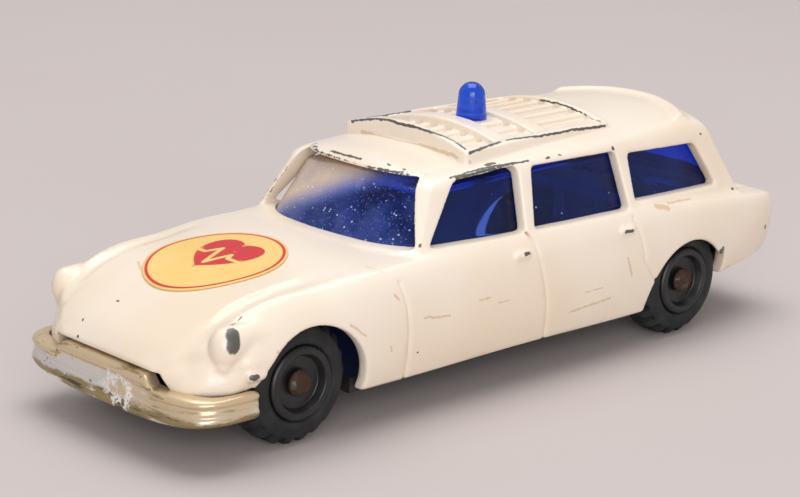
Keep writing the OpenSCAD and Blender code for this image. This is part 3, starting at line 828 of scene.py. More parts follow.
@dataclass(frozen=True)
class Mark:
    """A chip or stain where the photograph shows one: its two ends as pixels of the 800 by 497 image, and half
    its width in millimetres."""

    wear: Wear
    start: Pair
    end: Pair
    size: float


@dataclass(frozen=True)
class PlacedMark:
    """A mark set on the surface, in metres."""

    wear: Wear
    start: Vector
    end: Vector
    size: float


def trails(wear: Wear, rows: Sequence[Sequence[Any]]) -> list[Mark]:
    """Marks that follow one another along lines of pixels.

    Args:
        wear: What the marks show.
        rows: For each line half its width in millimetres and its pixels in order.

    Returns:
        One mark for each stretch between two pixels.
    """
    return [Mark(wear, a, b, size) for size, *pixels in rows for a, b in zip(pixels[:-1], pixels[1:])]


# Chips and stains, read off, a row for each: half its width in millimetres and the pixels along it
CHIPS = (
    (0.62, (233, 334), (234, 347)), (0.09, (241, 317), (232, 325)), (0.28, (253, 378), (257, 378)),
    (0.2, (526, 254), (529, 253)), (0.17, (626, 232), (633, 231)), (0.2, (613, 148), (613, 148)),
    (0.1, (700, 134), (701, 134)), (0.13, (732, 189), (737, 188)), (0.15, (765, 226), (765, 228)),
    (0.14, (388, 164), (390, 165)), (0.14, (404, 169), (405, 170)), (0.16, (420, 245), (420, 246)),
    (0.11, (117, 301), (118, 301)), (0.11, (83, 319), (83, 320)), (0.11, (78, 336), (78, 337)),
    (0.11, (127, 240), (128, 240)),
    (0.13, (352, 121), (368, 119), (386, 119), (405, 125), (422, 129), (440, 135), (454, 141), (465, 149)),
    (0.15, (470, 153), (500, 142)), (0.13, (507, 140), (540, 136), (572, 130), (605, 126)),
    (0.09, (540, 100), (560, 104), (580, 112), (600, 122)),
    # Rows from 331, 151 and 314, 146 follow the windscreen's top: chips and painted shade under the brow
    (0.11, (352, 120), (371, 117), (391, 114), (411, 111)), (0.13, (331, 151), (345, 155), (361, 159)),
    (0.12, (314, 146), (317, 147)), (0.11, (450, 178), (480, 169), (500, 165), (528, 161)),
    (0.2, (487, 165), (494, 163)), (0.09, (417, 353), (418, 353)), (0.09, (492, 355), (503, 351)),
    (0.09, (546, 158), (549, 157)), (0.08, (559, 155), (561, 155)),
)
STAINS = (
    (0.16, (362, 132), (385, 137), (400, 141), (420, 145), (440, 151), (455, 156), (470, 162)),
    (0.26, (656, 206), (668, 208)), (0.12, (668, 203), (690, 199)), (0.16, (141, 268), (152, 284)),
    (0.12, (138, 262), (140, 268)), (0.1, (425, 318), (450, 316)), (0.1, (480, 300), (490, 298)),
    (0.12, (570, 312), (610, 298)), (0.12, (628, 258), (632, 276)), (0.16, (278, 352), (279, 353)),
    (0.07, (586, 292), (604, 287)), (0.07, (498, 303), (509, 300)), (0.1, (351, 325), (366, 336)),
    (0.1, (391, 347), (392, 351)), (0.08, (366, 267), (382, 272)), (0.1, (395, 295), (399, 300)),
    (0.08, (600, 322), (604, 318)),
)
MARKS = trails(Wear.CHIP, CHIPS) + trails(Wear.STAIN, STAINS)


@dataclass(frozen=True)
class View:
    """Camera at the photograph's place, in millimetres, with its directions in the image."""

    place: Triple = (138.041594, 144.439016, 65.467837)
    right: Triple = (-0.737312, 0.675283, 0.019091)
    down: Triple = (0.167674, 0.210305, -0.96315)
    ahead: Triple = (-0.654413, -0.706941, -0.268288)
    lens: float = 101.9734
    sensor: float = 36
    image: tuple[int, int] = (800, 497)
    clip: Pair = (10, 10000)

    def build(self) -> None:
        """Adds the camera and makes it the scene's."""
        data = bpy.data.cameras.new("photo_view")
        data.lens, data.sensor_width = self.lens, self.sensor
        data.clip_start, data.clip_end = (d * MM for d in self.clip)
        made = bpy.data.objects.new("photo_view", data)
        turn = np.stack([self.right, -np.array(self.down), -np.array(self.ahead)], 1)
        made.matrix_world = Matrix.Translation(Vector(self.place) * MM) @ Matrix(turn.tolist()).to_4x4()
        bpy.context.collection.objects.link(made)
        bpy.context.scene.camera = made

    def ray(self, pixel: Pair) -> tuple[Vector, Vector]:
        """Line of sight through a pixel.

        Args:
            pixel: The pixel, from the image's upper left.

        Returns:
            The line's start and direction, in metres.
        """
        scale = self.sensor / self.image[0]
        u, v = ((p - n / 2) * scale for p, n in zip(pixel, self.image))
        way = Vector(self.ahead) * self.lens + Vector(self.right) * u + Vector(self.down) * v
        return Vector(self.place) * MM, way.normalized()

    def place_marks(self, made: Piece) -> tuple[PlacedMark, ...]:
        """Sets each mark on the piece where its pixels' lines of sight meet it.

        Args:
            made: The piece.

        Returns:
            The marks whose two lines of sight both meet it.
        """
        tree = BVHTree.FromObject(made, bpy.context.evaluated_depsgraph_get())
        placed = []
        for mark in MARKS:
            hits = [tree.ray_cast(*self.ray(p))[0] for p in (mark.start, mark.end)]
            if None not in hits:
                placed.append(PlacedMark(mark.wear, hits[0], hits[1], mark.size * MM))
        return tuple(placed)


@dataclass(frozen=True)
class Finish:
    """A material: what the piece is made of and how its surface was made."""

    name: str

    def material(self) -> bpy.types.Material:
        """Makes the material from its shader.

        Returns:
            The material.
        """
        made = bpy.data.materials.new(self.name)
        made.use_nodes = True
        tree = made.node_tree
        tree.nodes.clear()
        add(tree, "OutputMaterial", {"Surface": self.shade(tree)})
        return made

    def shade(self, tree: Tree) -> bpy.types.Node:
        """Adds the finish's nodes and returns the shader."""
        raise NotImplementedError

    def dress(self, made: Piece) -> None:
        """Puts the finish on a piece."""
        made.data.materials.clear()
        made.data.materials.append(self.material())


@dataclass(frozen=True)
class CreamEnamel(Finish):
    """Stoved enamel, sprayed on a zinc casting: a thick glossy coat with faint orange peel, worn through to
    grey metal on its edges, with brown dirt in its corners."""

    name: str = "cream_enamel_on_zinc"
    cream: str = "#e9dccb"
    warm: str = "#e4d3bb"
    metal: str = "#666660"
    dirt: str = "#b88a3c"
    # Bare metal of the inside, darkened as painted shade
    inside_shade: str = "#3d3936"
    peel_mm: float = 1.3
    chip_mm: float = 0.55
    patch_mm: float = 5
    cloud_mm: float = 14
    shake_mm: float = 0.45
    chip_soft: float = 0.35
    stain_soft: float = 0.9
    stain_share: float = 0.45
    rough: float = 0.32
    bare_rough: float = 0.5
    marks: tuple[PlacedMark, ...] = ()

    def mark_mask(self, tree: Tree, place: bpy.types.NodeSocket, wear: Wear) -> bpy.types.Node:
        """Mask of the placed marks of one kind: 1 inside the capsules round their lines.

        Args:
            tree: The node tree.
            place: The surface place, already shaken by noise.
            wear: The kind of mark.

        Returns:
            The node that gives the mask.
        """
        mask: Any = 0.0
        soft = self.chip_soft if wear is Wear.CHIP else self.stain_soft
        for mark in self.marks:
            if mark.wear is not wear:
                continue
            run = mark.end - mark.start
            off = add(tree, "VectorMath", [place, mark.start], operation="SUBTRACT")
            share = run / max(run.length_squared, 1e-12)
            dot = add(tree, "VectorMath", [off, share], operation="DOT_PRODUCT").outputs["Value"]
            along = add(tree, "Clamp", [dot])
            foot = add(tree, "VectorMath", {0: run, "Scale": along}, operation="SCALE")
            far = add(tree, "VectorMath", [off, foot], operation="DISTANCE").outputs["Value"]
            outer, inner = mark.size * (1 + soft / 2), mark.size * (1 - soft / 2)
            one = add(tree, "MapRange", [far, outer, inner], **SMOOTH)
            mask = add(tree, "Math", [one, mask], operation="MAXIMUM")
        return mask

    def shade(self, tree: Tree) -> bpy.types.Node:
        """Cream coat over bare metal, with dirt, chips and a painted shade on the inside.

        Args:
            tree: The material's node tree.

        Returns:
            The shader.
        """
        place = add(tree, "TexCoord").outputs["Object"]
        edge, crease, inside = (add(tree, "Attribute", attribute_name=n).outputs["Fac"]
                                for n in ("edge", "crease", "inside"))
        cloud = add(tree, "TexNoise", {"Vector": place, "Scale": per(self.cloud_mm), "Detail": 3.0})
        grit = add(tree, "TexNoise", {
            "Vector": place, "Scale": per(self.chip_mm), "Detail": 4.0, "Roughness": 0.65})
        patch = add(tree, "TexNoise", {"Vector": place, "Scale": per(self.patch_mm), "Detail": 2.0})
        peel = add(tree, "TexNoise", {"Vector": place, "Scale": per(self.peel_mm), "Detail": 1.0})
        shake = add(tree, "VectorMath", [grit.outputs["Color"], (0.5, 0.5, 0.5)], operation="SUBTRACT")
        shaken = add(tree, "VectorMath", [shake, (self.shake_mm * MM,) * 3, place], operation="MULTIPLY_ADD")
        # Paint colour drifts slowly between cream and a warmer cream
        tint = add(tree, "MapRange", [cloud, 0.35, 0.7], **SMOOTH)
        coat = add(tree, "Mix", {0: tint, 6: linear(self.cream), 7: linear(self.warm)}, **COLOUR)
        # Dirt gathers in the corners, in patches, and in the placed stains
        deep = add(tree, "MapRange", [crease, 0.45, 1.0], **SMOOTH)
        patchy = add(tree, "MapRange", [patch, 0.4, 0.7, 0.1, 0.6])
        corner = add(tree, "Math", [deep, patchy], operation="MULTIPLY")
        stain = self.mark_mask(tree, shaken.outputs[0], Wear.STAIN)
        stain = add(tree, "Math", [stain, self.stain_share], operation="MULTIPLY")
        dirty = add(tree, "Math", [corner, stain], operation="MAXIMUM")
        soiled = add(tree, "Mix", {0: dirty, 6: coat.outputs[2], 7: linear(self.dirt)}, **COLOUR)
        # Chips: on sharp edges where the grit and the patches are high, and in the placed marks
        worn = add(tree, "Math", [grit, patch], operation="ADD")
        worn = add(tree, "Math", [edge, 1.1, worn], operation="MULTIPLY_ADD")
        worn = add(tree, "MapRange", [worn, 1.98, 2.06], **SMOOTH)
        chip = self.mark_mask(tree, shaken.outputs[0], Wear.CHIP)
        chip = add(tree, "Math", [worn, chip], operation="MAXIMUM")
        bare = add(tree, "Mix", {0: chip, 6: soiled.outputs[2], 7: linear(self.metal)}, **COLOUR)
        # From a depth that takes in the windows' jambs, the inside gets painted shade over its bare metal
        colour = add(tree, "Mix", {0: inside, 6: bare.outputs[2], 7: linear(self.inside_shade)}, **COLOUR)
        rough = add(tree, "MapRange", {0: chip, 3: self.rough, 4: self.bare_rough})
        dull = add(tree, "Math", [dirty, 0.3, rough], operation="MULTIPLY_ADD")
        dull = add(tree, "Math", [inside, 0.4, dull], operation="MULTIPLY_ADD")
        metal = add(tree, "Math", [chip, 0.6], operation="MULTIPLY")
        step = add(tree, "Math", [chip, -1.0, peel], operation="MULTIPLY_ADD")
        bump = add(tree, "Bump", {"Strength": 0.08, "Distance": 0.12 * MM, "Height": step})
        return add(tree, "BsdfPrincipled", {
            "Base Color": colour.outputs[2], "Roughness": dull, "Metallic": metal, "Normal": bump,
            "IOR": 1.5, "Coat Weight": 0.22, "Coat Roughness": 0.1})


@dataclass(frozen=True)
class TintedStyrene(Finish):
    """Clear styrene tinted deep blue, moulded as one liner: a film of dust, bright specks and a painted
    reflection on the windscreen hide what lies behind."""

    name: str = "blue_tinted_styrene"
    tint: str = "#4c78ea"
    # The dust's colour is also that of the painted reflection on the windscreen
    dust: str = "#c9b59d"
    sparkle: str = "#dfe3f2"
    speck_mm: float = 0.6
    haze_mm: float = 4
    clear: float = 0.98
    # Far below styrene's 1.59, so that the thin liner hardly bends or mirrors light
    ior: float = 1.12
    # The windscreen is what lies ahead of a plane with its own rake; the pair is where that sets in, in X
    rake: float = Cabin.screen_rake
    screen_from: Pair = (21.6, 22.4)
    # Y less twice Z where the painted reflection starts and is whole: its edge rises to the left, half as fast
    # as it runs
    reflection_slant: float = -2.0
    reflection_from: Pair = (-29.5, -36)
    reflection_waver: float = 5
    # Heights where the painted reflection's band under the roof's brow starts and is whole, and its share
    brow_from: Pair = (18, 19.4)
    brow_share: float = 0.55
    # Thickness of the thin film and share of bright specks, on the other windows and on the windscreen
    thin_film: Pair = (0.04, 0.28)
    speck_share: Pair = (0.03, 0.5)

    def shade(self, tree: Tree) -> bpy.types.Node:
        """Clear tinted shader, which a dust film, a painted reflection and bright specks turn pale and matt.

        Args:
            tree: The material's node tree.

        Returns:
            The shader.
        """
        place = add(tree, "TexCoord").outputs["Object"]
        haze = add(tree, "TexNoise", {"Vector": place, "Scale": per(self.haze_mm), "Detail": 4.0})
        speck = add(tree, "TexVoronoi", {"Vector": place, "Scale": per(self.speck_mm)})
        axes = add(tree, "SeparateXYZ", [place])
        x, y, z = (axes.outputs[n] for n in "XYZ")
        raked = add(tree, "Math", [z, self.rake, x], operation="MULTIPLY_ADD")
        low, high = (v * MM for v in self.screen_from)
        front = add(tree, "MapRange", [raked, low, high], **SMOOTH)
        # Painted reflection: a pale film on the windscreen's upper right and in a band under the roof's brow
        slant = add(tree, "Math", [z, self.reflection_slant, y], operation="MULTIPLY_ADD")
        slant = add(tree, "Math", [haze, self.reflection_waver * MM, slant], operation="MULTIPLY_ADD")
        low, high = (v * MM for v in self.reflection_from)
        upper = add(tree, "MapRange", [slant, low, high], **SMOOTH)
        low, high = (v * MM for v in self.brow_from)
        brow = add(tree, "MapRange", [z, low, high, 0.0, self.brow_share])
        upper = add(tree, "Math", [upper, brow], operation="MAXIMUM")
        reflection_patch = add(tree, "Math", [front, upper], operation="MULTIPLY")
        thick = add(tree, "MapRange", {0: front, 3: self.thin_film[0], 4: self.thin_film[1]})
        film = add(tree, "MapRange", [haze, 0.4, 0.75, 0.0, thick])
        # The thin dust film together with the painted reflection
        dusty = add(tree, "Math", [reflection_patch, 0.9, film], operation="MULTIPLY_ADD", use_clamp=True)
        # Half of the specks on the windscreen are bright, and few elsewhere; finer grains lie between them
        pick = add(tree, "SeparateXYZ", [speck.outputs["Color"]]).outputs["X"]
        share = add(tree, "MapRange", {0: front, 3: self.speck_share[0], 4: self.speck_share[1]})
        chosen = add(tree, "Math", [pick, share], operation="LESS_THAN")
        dots = add(tree, "MapRange", [speck.outputs["Distance"], 0.2, 0.12])
        bright = add(tree, "Math", [dots, chosen], operation="MULTIPLY")
        dust = add(tree, "TexVoronoi", {"Vector": place, "Scale": per(self.speck_mm / 2)})
        grains = add(tree, "MapRange", [dust.outputs["Distance"], 0.26, 0.14])
        grains = add(tree, "Math", [grains, front], operation="MULTIPLY")
        bright = add(tree, "Math", [grains, 0.55, bright], operation="MULTIPLY_ADD", use_clamp=True)
        bright = add(tree, "Math", [bright, 0.6], operation="MULTIPLY")
        colour = add(tree, "Mix", {0: dusty, 6: linear(self.tint), 7: linear(self.dust)}, **COLOUR)
        colour = add(tree, "Mix", {0: bright, 6: colour.outputs[2], 7: linear(self.sparkle)}, **COLOUR)
        cover = add(tree, "Math", [dusty, bright], operation="MAXIMUM")
        clear = add(tree, "MapRange", {0: cover, 3: self.clear, 4: 0.0})
        rough = add(tree, "MapRange", {0: cover, 3: 0.06, 4: 0.5})
        return add(tree, "BsdfPrincipled", {
            "Base Color": colour.outputs[2], "Roughness": rough, "Transmission Weight": clear, "IOR": self.ior,
            "Coat Weight": 0.4, "Coat Roughness": 0.05})


@dataclass(frozen=True)
class BeaconStyrene(Finish):
    """Transparent blue styrene, moulded with a polished dome: deep colour that glows where light passes."""

    name: str = "blue_beacon_styrene"
    blue: str = "#1558ee"
    rubbed: str = "#3a4df0"
    rub_mm: float = 0.6
    clear: float = 0.88

    def shade(self, tree: Tree) -> bpy.types.Node:
        """Mostly clear, with fine rubs that are paler and duller.

        Args:
            tree: The material's node tree.

        Returns:
            The shader.
        """
        place = add(tree, "TexCoord").outputs["Object"]
        rub = add(tree, "TexNoise", {"Vector": place, "Scale": per(self.rub_mm), "Detail": 4.0})
        rough = add(tree, "MapRange", [rub, 0.4, 0.7, 0.05, 0.16])
        pale = add(tree, "MapRange", [rub, 0.55, 0.8, 0.0, 0.3])
        colour = add(tree, "Mix", {0: pale, 6: linear(self.blue), 7: linear(self.rubbed)}, **COLOUR)
        return add(tree, "BsdfPrincipled", {
            "Base Color": colour.outputs[2], "Roughness": rough, "Transmission Weight": self.clear,
            "IOR": 1.5})


@dataclass(frozen=True)
class WornPlating(Finish):
    """Vacuum-plated styrene: bright silver on the plate across its middle, rubbed through to a tan lacquer on
    the rolled top and to olive below, dull in its grooves."""

    name: str = "worn_vacuum_plating"
    silver: str = "#d9d3cd"
    tan: str = "#d3bd99"
    olive: str = "#97865a"
    groove: str = "#4a4136"
    # White of bare flakes and bright streaks; on the lump its spots are also painted glints
    flake: str = "#f0eeea"
    flake_place: Triple = (37.2, 2.3, 5.1)
    flake_size: Triple = (3, 2.1, 1.4)
    flake_mm: float = 0.8
    rub_mm: float = 2.4
    fine_mm: float = 0.35
    streak_mm: float = 1.6
    plate_low: float = 4.5
    plate_high: float = 6.2
    end_high: float = 5.5
    step_y: Pair = (5.6, 7.0)
    rubbed_y: Pair = (2.2, 4.2)
    ragged_mm: float = 0.45
    soft_mm: float = 0.12

    def shade(self, tree: Tree) -> bpy.types.Node:
        """Metal that changes to lacquer above and below the plate, with ragged edges and rubbed patches.

        Args:
            tree: The material's node tree.

        Returns:
            The shader.
        """
        place = add(tree, "TexCoord").outputs["Object"]
        crease = add(tree, "Attribute", attribute_name="crease").outputs["Fac"]
        rub = add(tree, "TexNoise", {
            "Vector": place, "Scale": per(self.rub_mm), "Detail": 5.0, "Roughness": 0.6})
        fine = add(tree, "TexNoise", {"Vector": place, "Scale": per(self.fine_mm), "Detail": 3.0})
        axes = add(tree, "SeparateXYZ", [place])
        off = add(tree, "Math", [axes.outputs["Y"]], operation="ABSOLUTE")
        upper = add(tree, "MapRange", [off, *(v * MM for v in (*self.step_y, self.plate_high, self.end_high))])
        ragged = add(tree, "Math", [rub, 2 * self.ragged_mm * MM, axes.outputs["Z"]], operation="MULTIPLY_ADD")
        ragged = add(tree, "Math", [ragged, self.ragged_mm * MM], operation="SUBTRACT")
        above = add(tree, "Math", [ragged, upper], operation="SUBTRACT")
        soft = self.soft_mm
        above = add(tree, "MapRange", [above, -soft * MM, soft * MM], **SMOOTH)
        high_z, low_z = ((self.plate_low + d) * MM for d in (soft, -soft))
        below = add(tree, "MapRange", [ragged, high_z, low_z], **SMOOTH)
        # Rubbed streaks run along the bumper: the noise is drawn out along it and squeezed in height
        drawn = add(tree, "VectorMath", [place, (0.35, 0.35, 3.0)], operation="MULTIPLY")
        streak = add(tree, "TexNoise", {
            "Vector": drawn, "Scale": per(self.streak_mm), "Detail": 4.0, "Roughness": 0.6})
        dark = add(tree, "MapRange", [streak, 0.46, 0.34], **SMOOTH)
        shine = add(tree, "MapRange", [streak, 0.54, 0.64], **SMOOTH)
        low = add(tree, "Mix", {0: dark, 6: linear(self.olive), 7: linear(self.groove)}, **COLOUR)
        low = add(tree, "Mix", {0: shine, 6: low.outputs[2], 7: linear(self.flake)}, **COLOUR)
        high = add(tree, "Mix", {0: dark, 6: linear(self.tan), 7: linear(self.olive)}, **COLOUR)
        # Left of the lump the plate is rubbed to the lacquer too, but for bright streaks
        low_y, high_y = (v * MM for v in self.rubbed_y)
        rubbed = add(tree, "MapRange", [axes.outputs["Y"], low_y, high_y, 0.0, 0.9], **SMOOTH)
        rubbed = add(tree, "Math", [rubbed, shine], operation="SUBTRACT", use_clamp=True)
        above = add(tree, "Math", [above, rubbed], operation="MAXIMUM")
        top = add(tree, "Mix", {0: above, 6: linear(self.silver), 7: high.outputs[2]}, **COLOUR)
        both = add(tree, "Mix", {0: below, 6: top.outputs[2], 7: low.outputs[2]}, **COLOUR)
        # The plating has flaked off the lump: white round its edge, tan inside, broken up by the fine noise;
        # the white spots are partly painted glints
        rough_edge = add(tree, "TexNoise", {"Vector": place, "Scale": per(self.flake_mm), "Detail": 3.0})
        centre = tuple(c * MM for c in self.flake_place)
        shrink = tuple(1 / (c * MM) for c in self.flake_size)
        away = add(tree, "VectorMath", [place, centre], operation="SUBTRACT")
        away = add(tree, "VectorMath", [away, shrink], operation="MULTIPLY")
        away = add(tree, "VectorMath", [away], operation="LENGTH").outputs["Value"]
        away = add(tree, "Math", [rough_edge, 1.6, away], operation="MULTIPLY_ADD")
        flaked = add(tree, "MapRange", [away, 1.85, 1.7], **SMOOTH)
        core = add(tree, "MapRange", [away, 1.25, 1.05], **SMOOTH)
        flake = add(tree, "Mix", {0: core, 6: linear(self.flake), 7: linear(self.tan)}, **COLOUR)
        spots = add(tree, "MapRange", [fine, 0.4, 0.5], **SMOOTH)
        flaked = add(tree, "Math", [flaked, spots], operation="MULTIPLY")
        both = add(tree, "Mix", {0: flaked, 6: both.outputs[2], 7: flake.outputs[2]}, **COLOUR)
        # Dark pits in the plate
        pit = add(tree, "Math", [fine, rub], operation="ADD")
        pit = add(tree, "MapRange", [pit, 1.24, 1.3], **SMOOTH)
        deep = add(tree, "MapRange", [crease, 0.3, 0.7], **SMOOTH)
        deep = add(tree, "Math", [deep, pit], operation="MAXIMUM")
        colour = add(tree, "Mix", {0: deep, 6: both.outputs[2], 7: linear(self.groove)}, **COLOUR)
        worn = add(tree, "Math", [above, below], operation="MAXIMUM")
        metal = add(tree, "MapRange", {0: worn, 3: 0.6, 4: 0.5})
        rough = add(tree, "MapRange", {0: worn, 3: 0.32, 4: 0.28})
        rough = add(tree, "Math", [deep, 0.35, rough], operation="MULTIPLY_ADD")
        bump = add(tree, "Bump", {"Strength": 0.15, "Distance": 0.05 * MM, "Height": fine})
        return add(tree, "BsdfPrincipled", {
            "Base Color": colour.outputs[2], "Metallic": metal, "Roughness": rough, "Normal": bump})


@dataclass(frozen=True)
class PrintedPaper(Finish):
    """Gummed paper, printed in red on yellow under a worn varnish."""

    name: str = "printed_label_paper"
    yellow: str = "#e3b95e"
    faded: str = "#ebcb82"
    red: str = "#c41c20"
    ink_mm: float = 0.06
    rub_mm: float = 0.5
    fade_mm: float = 5

    def shade(self, tree: Tree) -> bpy.types.Node:
        """Red where the print's distance is below zero, with rubbed ink and faded paper.

        Args:
            tree: The material's node tree.

        Returns:
            The shader.
        """
        place = add(tree, "TexCoord").outputs["Object"]
        drawn = add(tree, "Attribute", attribute_name="print").outputs["Fac"]
        rub = add(tree, "TexNoise", {
            "Vector": place, "Scale": per(self.rub_mm), "Detail": 5.0, "Roughness": 0.7})
        fade = add(tree, "TexNoise", {"Vector": place, "Scale": per(self.fade_mm), "Detail": 2.0})
        paper = add(tree, "Mix", {0: fade, 6: linear(self.yellow), 7: linear(self.faded)}, **COLOUR)
        inked = add(tree, "MapRange", [drawn, self.ink_mm, -self.ink_mm], **SMOOTH)
        worn = add(tree, "MapRange", [rub, 0.62, 0.72, 1.0, 0.35])
        inked = add(tree, "Math", [inked, worn], operation="MULTIPLY")
        colour = add(tree, "Mix", {0: inked, 6: paper.outputs[2], 7: linear(self.red)}, **COLOUR)
        rough = add(tree, "MapRange", {0: rub, 3: 0.3, 4: 0.55})
        bump = add(tree, "Bump", {"Strength": 0.1, "Distance": 0.03 * MM, "Height": rub})
        return add(tree, "BsdfPrincipled", {
            "Base Color": colour.outputs[2], "Roughness": rough, "Normal": bump})


@dataclass(frozen=True)
class MouldedBlack(Finish):
    """Black moulding compound, or black paint on the base: matt on the soft tyres, satin on the hard hubs and
    the paint, grey with handling dust."""

    name: str
    black: str = "#121516"
    dust: str = "#3d3a38"
    dust_share: float = 0.5
    rough: float = 0.7
    patch_mm: float = 2.2
    grain_mm: float = 0.4

    def shade(self, tree: Tree) -> bpy.types.Node:
        """Black with dusty patches and a fine moulded grain.

        Args:
            tree: The material's node tree.

        Returns:
            The shader.
        """
        place = add(tree, "TexCoord").outputs["Object"]
        patch = add(tree, "TexNoise", {
            "Vector": place, "Scale": per(self.patch_mm), "Detail": 5.0, "Roughness": 0.6})
        grain = add(tree, "TexNoise", {"Vector": place, "Scale": per(self.grain_mm), "Detail": 3.0})
        dusty = add(tree, "MapRange", [patch, 0.45, 0.75, 0.0, self.dust_share])
        colour = add(tree, "Mix", {0: dusty, 6: linear(self.black), 7: linear(self.dust)}, **COLOUR)
        rough = add(tree, "MapRange", {0: dusty, 3: self.rough, 4: min(1.0, self.rough + 0.2)})
        bump = add(tree, "Bump", {"Strength": 0.2, "Distance": 0.05 * MM, "Height": grain})
        return add(tree, "BsdfPrincipled", {
            "Base Color": colour.outputs[2], "Roughness": rough, "Normal": bump, "IOR": 1.5})


@dataclass(frozen=True)
class AgedMetal(Finish):
    """Plain steel or zinc that has dulled and rusted: metal with spreading brown spots."""

    name: str
    metal: str = "#5a544c"
    rust: str = "#3a2314"
    rust_share: float = 0.8
    rust_from: Pair = (0.62, 0.75)
    spot_mm: float = 0.8
    rough: float = 0.4

    def shade(self, tree: Tree) -> bpy.types.Node:
        """Metal and rust by a broken noise; rust is rough and hardly metallic.

        Args:
            tree: The material's node tree.

        Returns:
            The shader.
        """
        place = add(tree, "TexCoord").outputs["Object"]
        spots = add(tree, "TexNoise", {
            "Vector": place, "Scale": per(self.spot_mm), "Detail": 5.0, "Roughness": 0.65})
        clean, brown = (limit - 0.3 * self.rust_share for limit in self.rust_from)
        rusty = add(tree, "MapRange", [spots, clean, brown], **SMOOTH)
        colour = add(tree, "Mix", {0: rusty, 6: linear(self.metal), 7: linear(self.rust)}, **COLOUR)
        metal = add(tree, "MapRange", {0: rusty, 3: 0.95, 4: 0.2})
        rough = add(tree, "MapRange", {0: rusty, 3: self.rough, 4: 0.75})
        bump = add(tree, "Bump", {"Strength": 0.25, "Distance": 0.05 * MM, "Height": spots})
        return add(tree, "BsdfPrincipled", {
            "Base Color": colour.outputs[2], "Metallic": metal, "Roughness": rough, "Normal": bump})


@dataclass(frozen=True)
class StageFloor(Finish):
    """Matt pale table top."""

    name: str = "pale_table"
    colour: str = "#bcb2af"
    paler: str = "#c0b7b4"
    cloud_mm: float = 60

    def shade(self, tree: Tree) -> bpy.types.Node:
        """Nearly even pale colour.

        Args:
            tree: The material's node tree.

        Returns:
            The shader.
        """
        place = add(tree, "TexCoord").outputs["Object"]
        cloud = add(tree, "TexNoise", {"Vector": place, "Scale": per(self.cloud_mm), "Detail": 2.0})
        colour = add(tree, "Mix", {0: cloud, 6: linear(self.colour), 7: linear(self.paler)}, **COLOUR)
        return add(tree, "BsdfPrincipled", {"Base Color": colour.outputs[2], "Roughness": 0.8})


def settle(made: Piece, body: str, slot: str, *nodes: str) -> None:
    """Makes a piece ride a body and stand for its CAD nodes, and reports it.

    Args:
        made: The piece.
        body: The body that it moves with.
        slot: A material slot's name; not used.
        nodes: The CAD nodes that it stands for.
    """
    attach(made, body)
    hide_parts(*nodes)
    LOG.info("%s: %d points, rides %s", made.name, len(made.data.vertices), body)


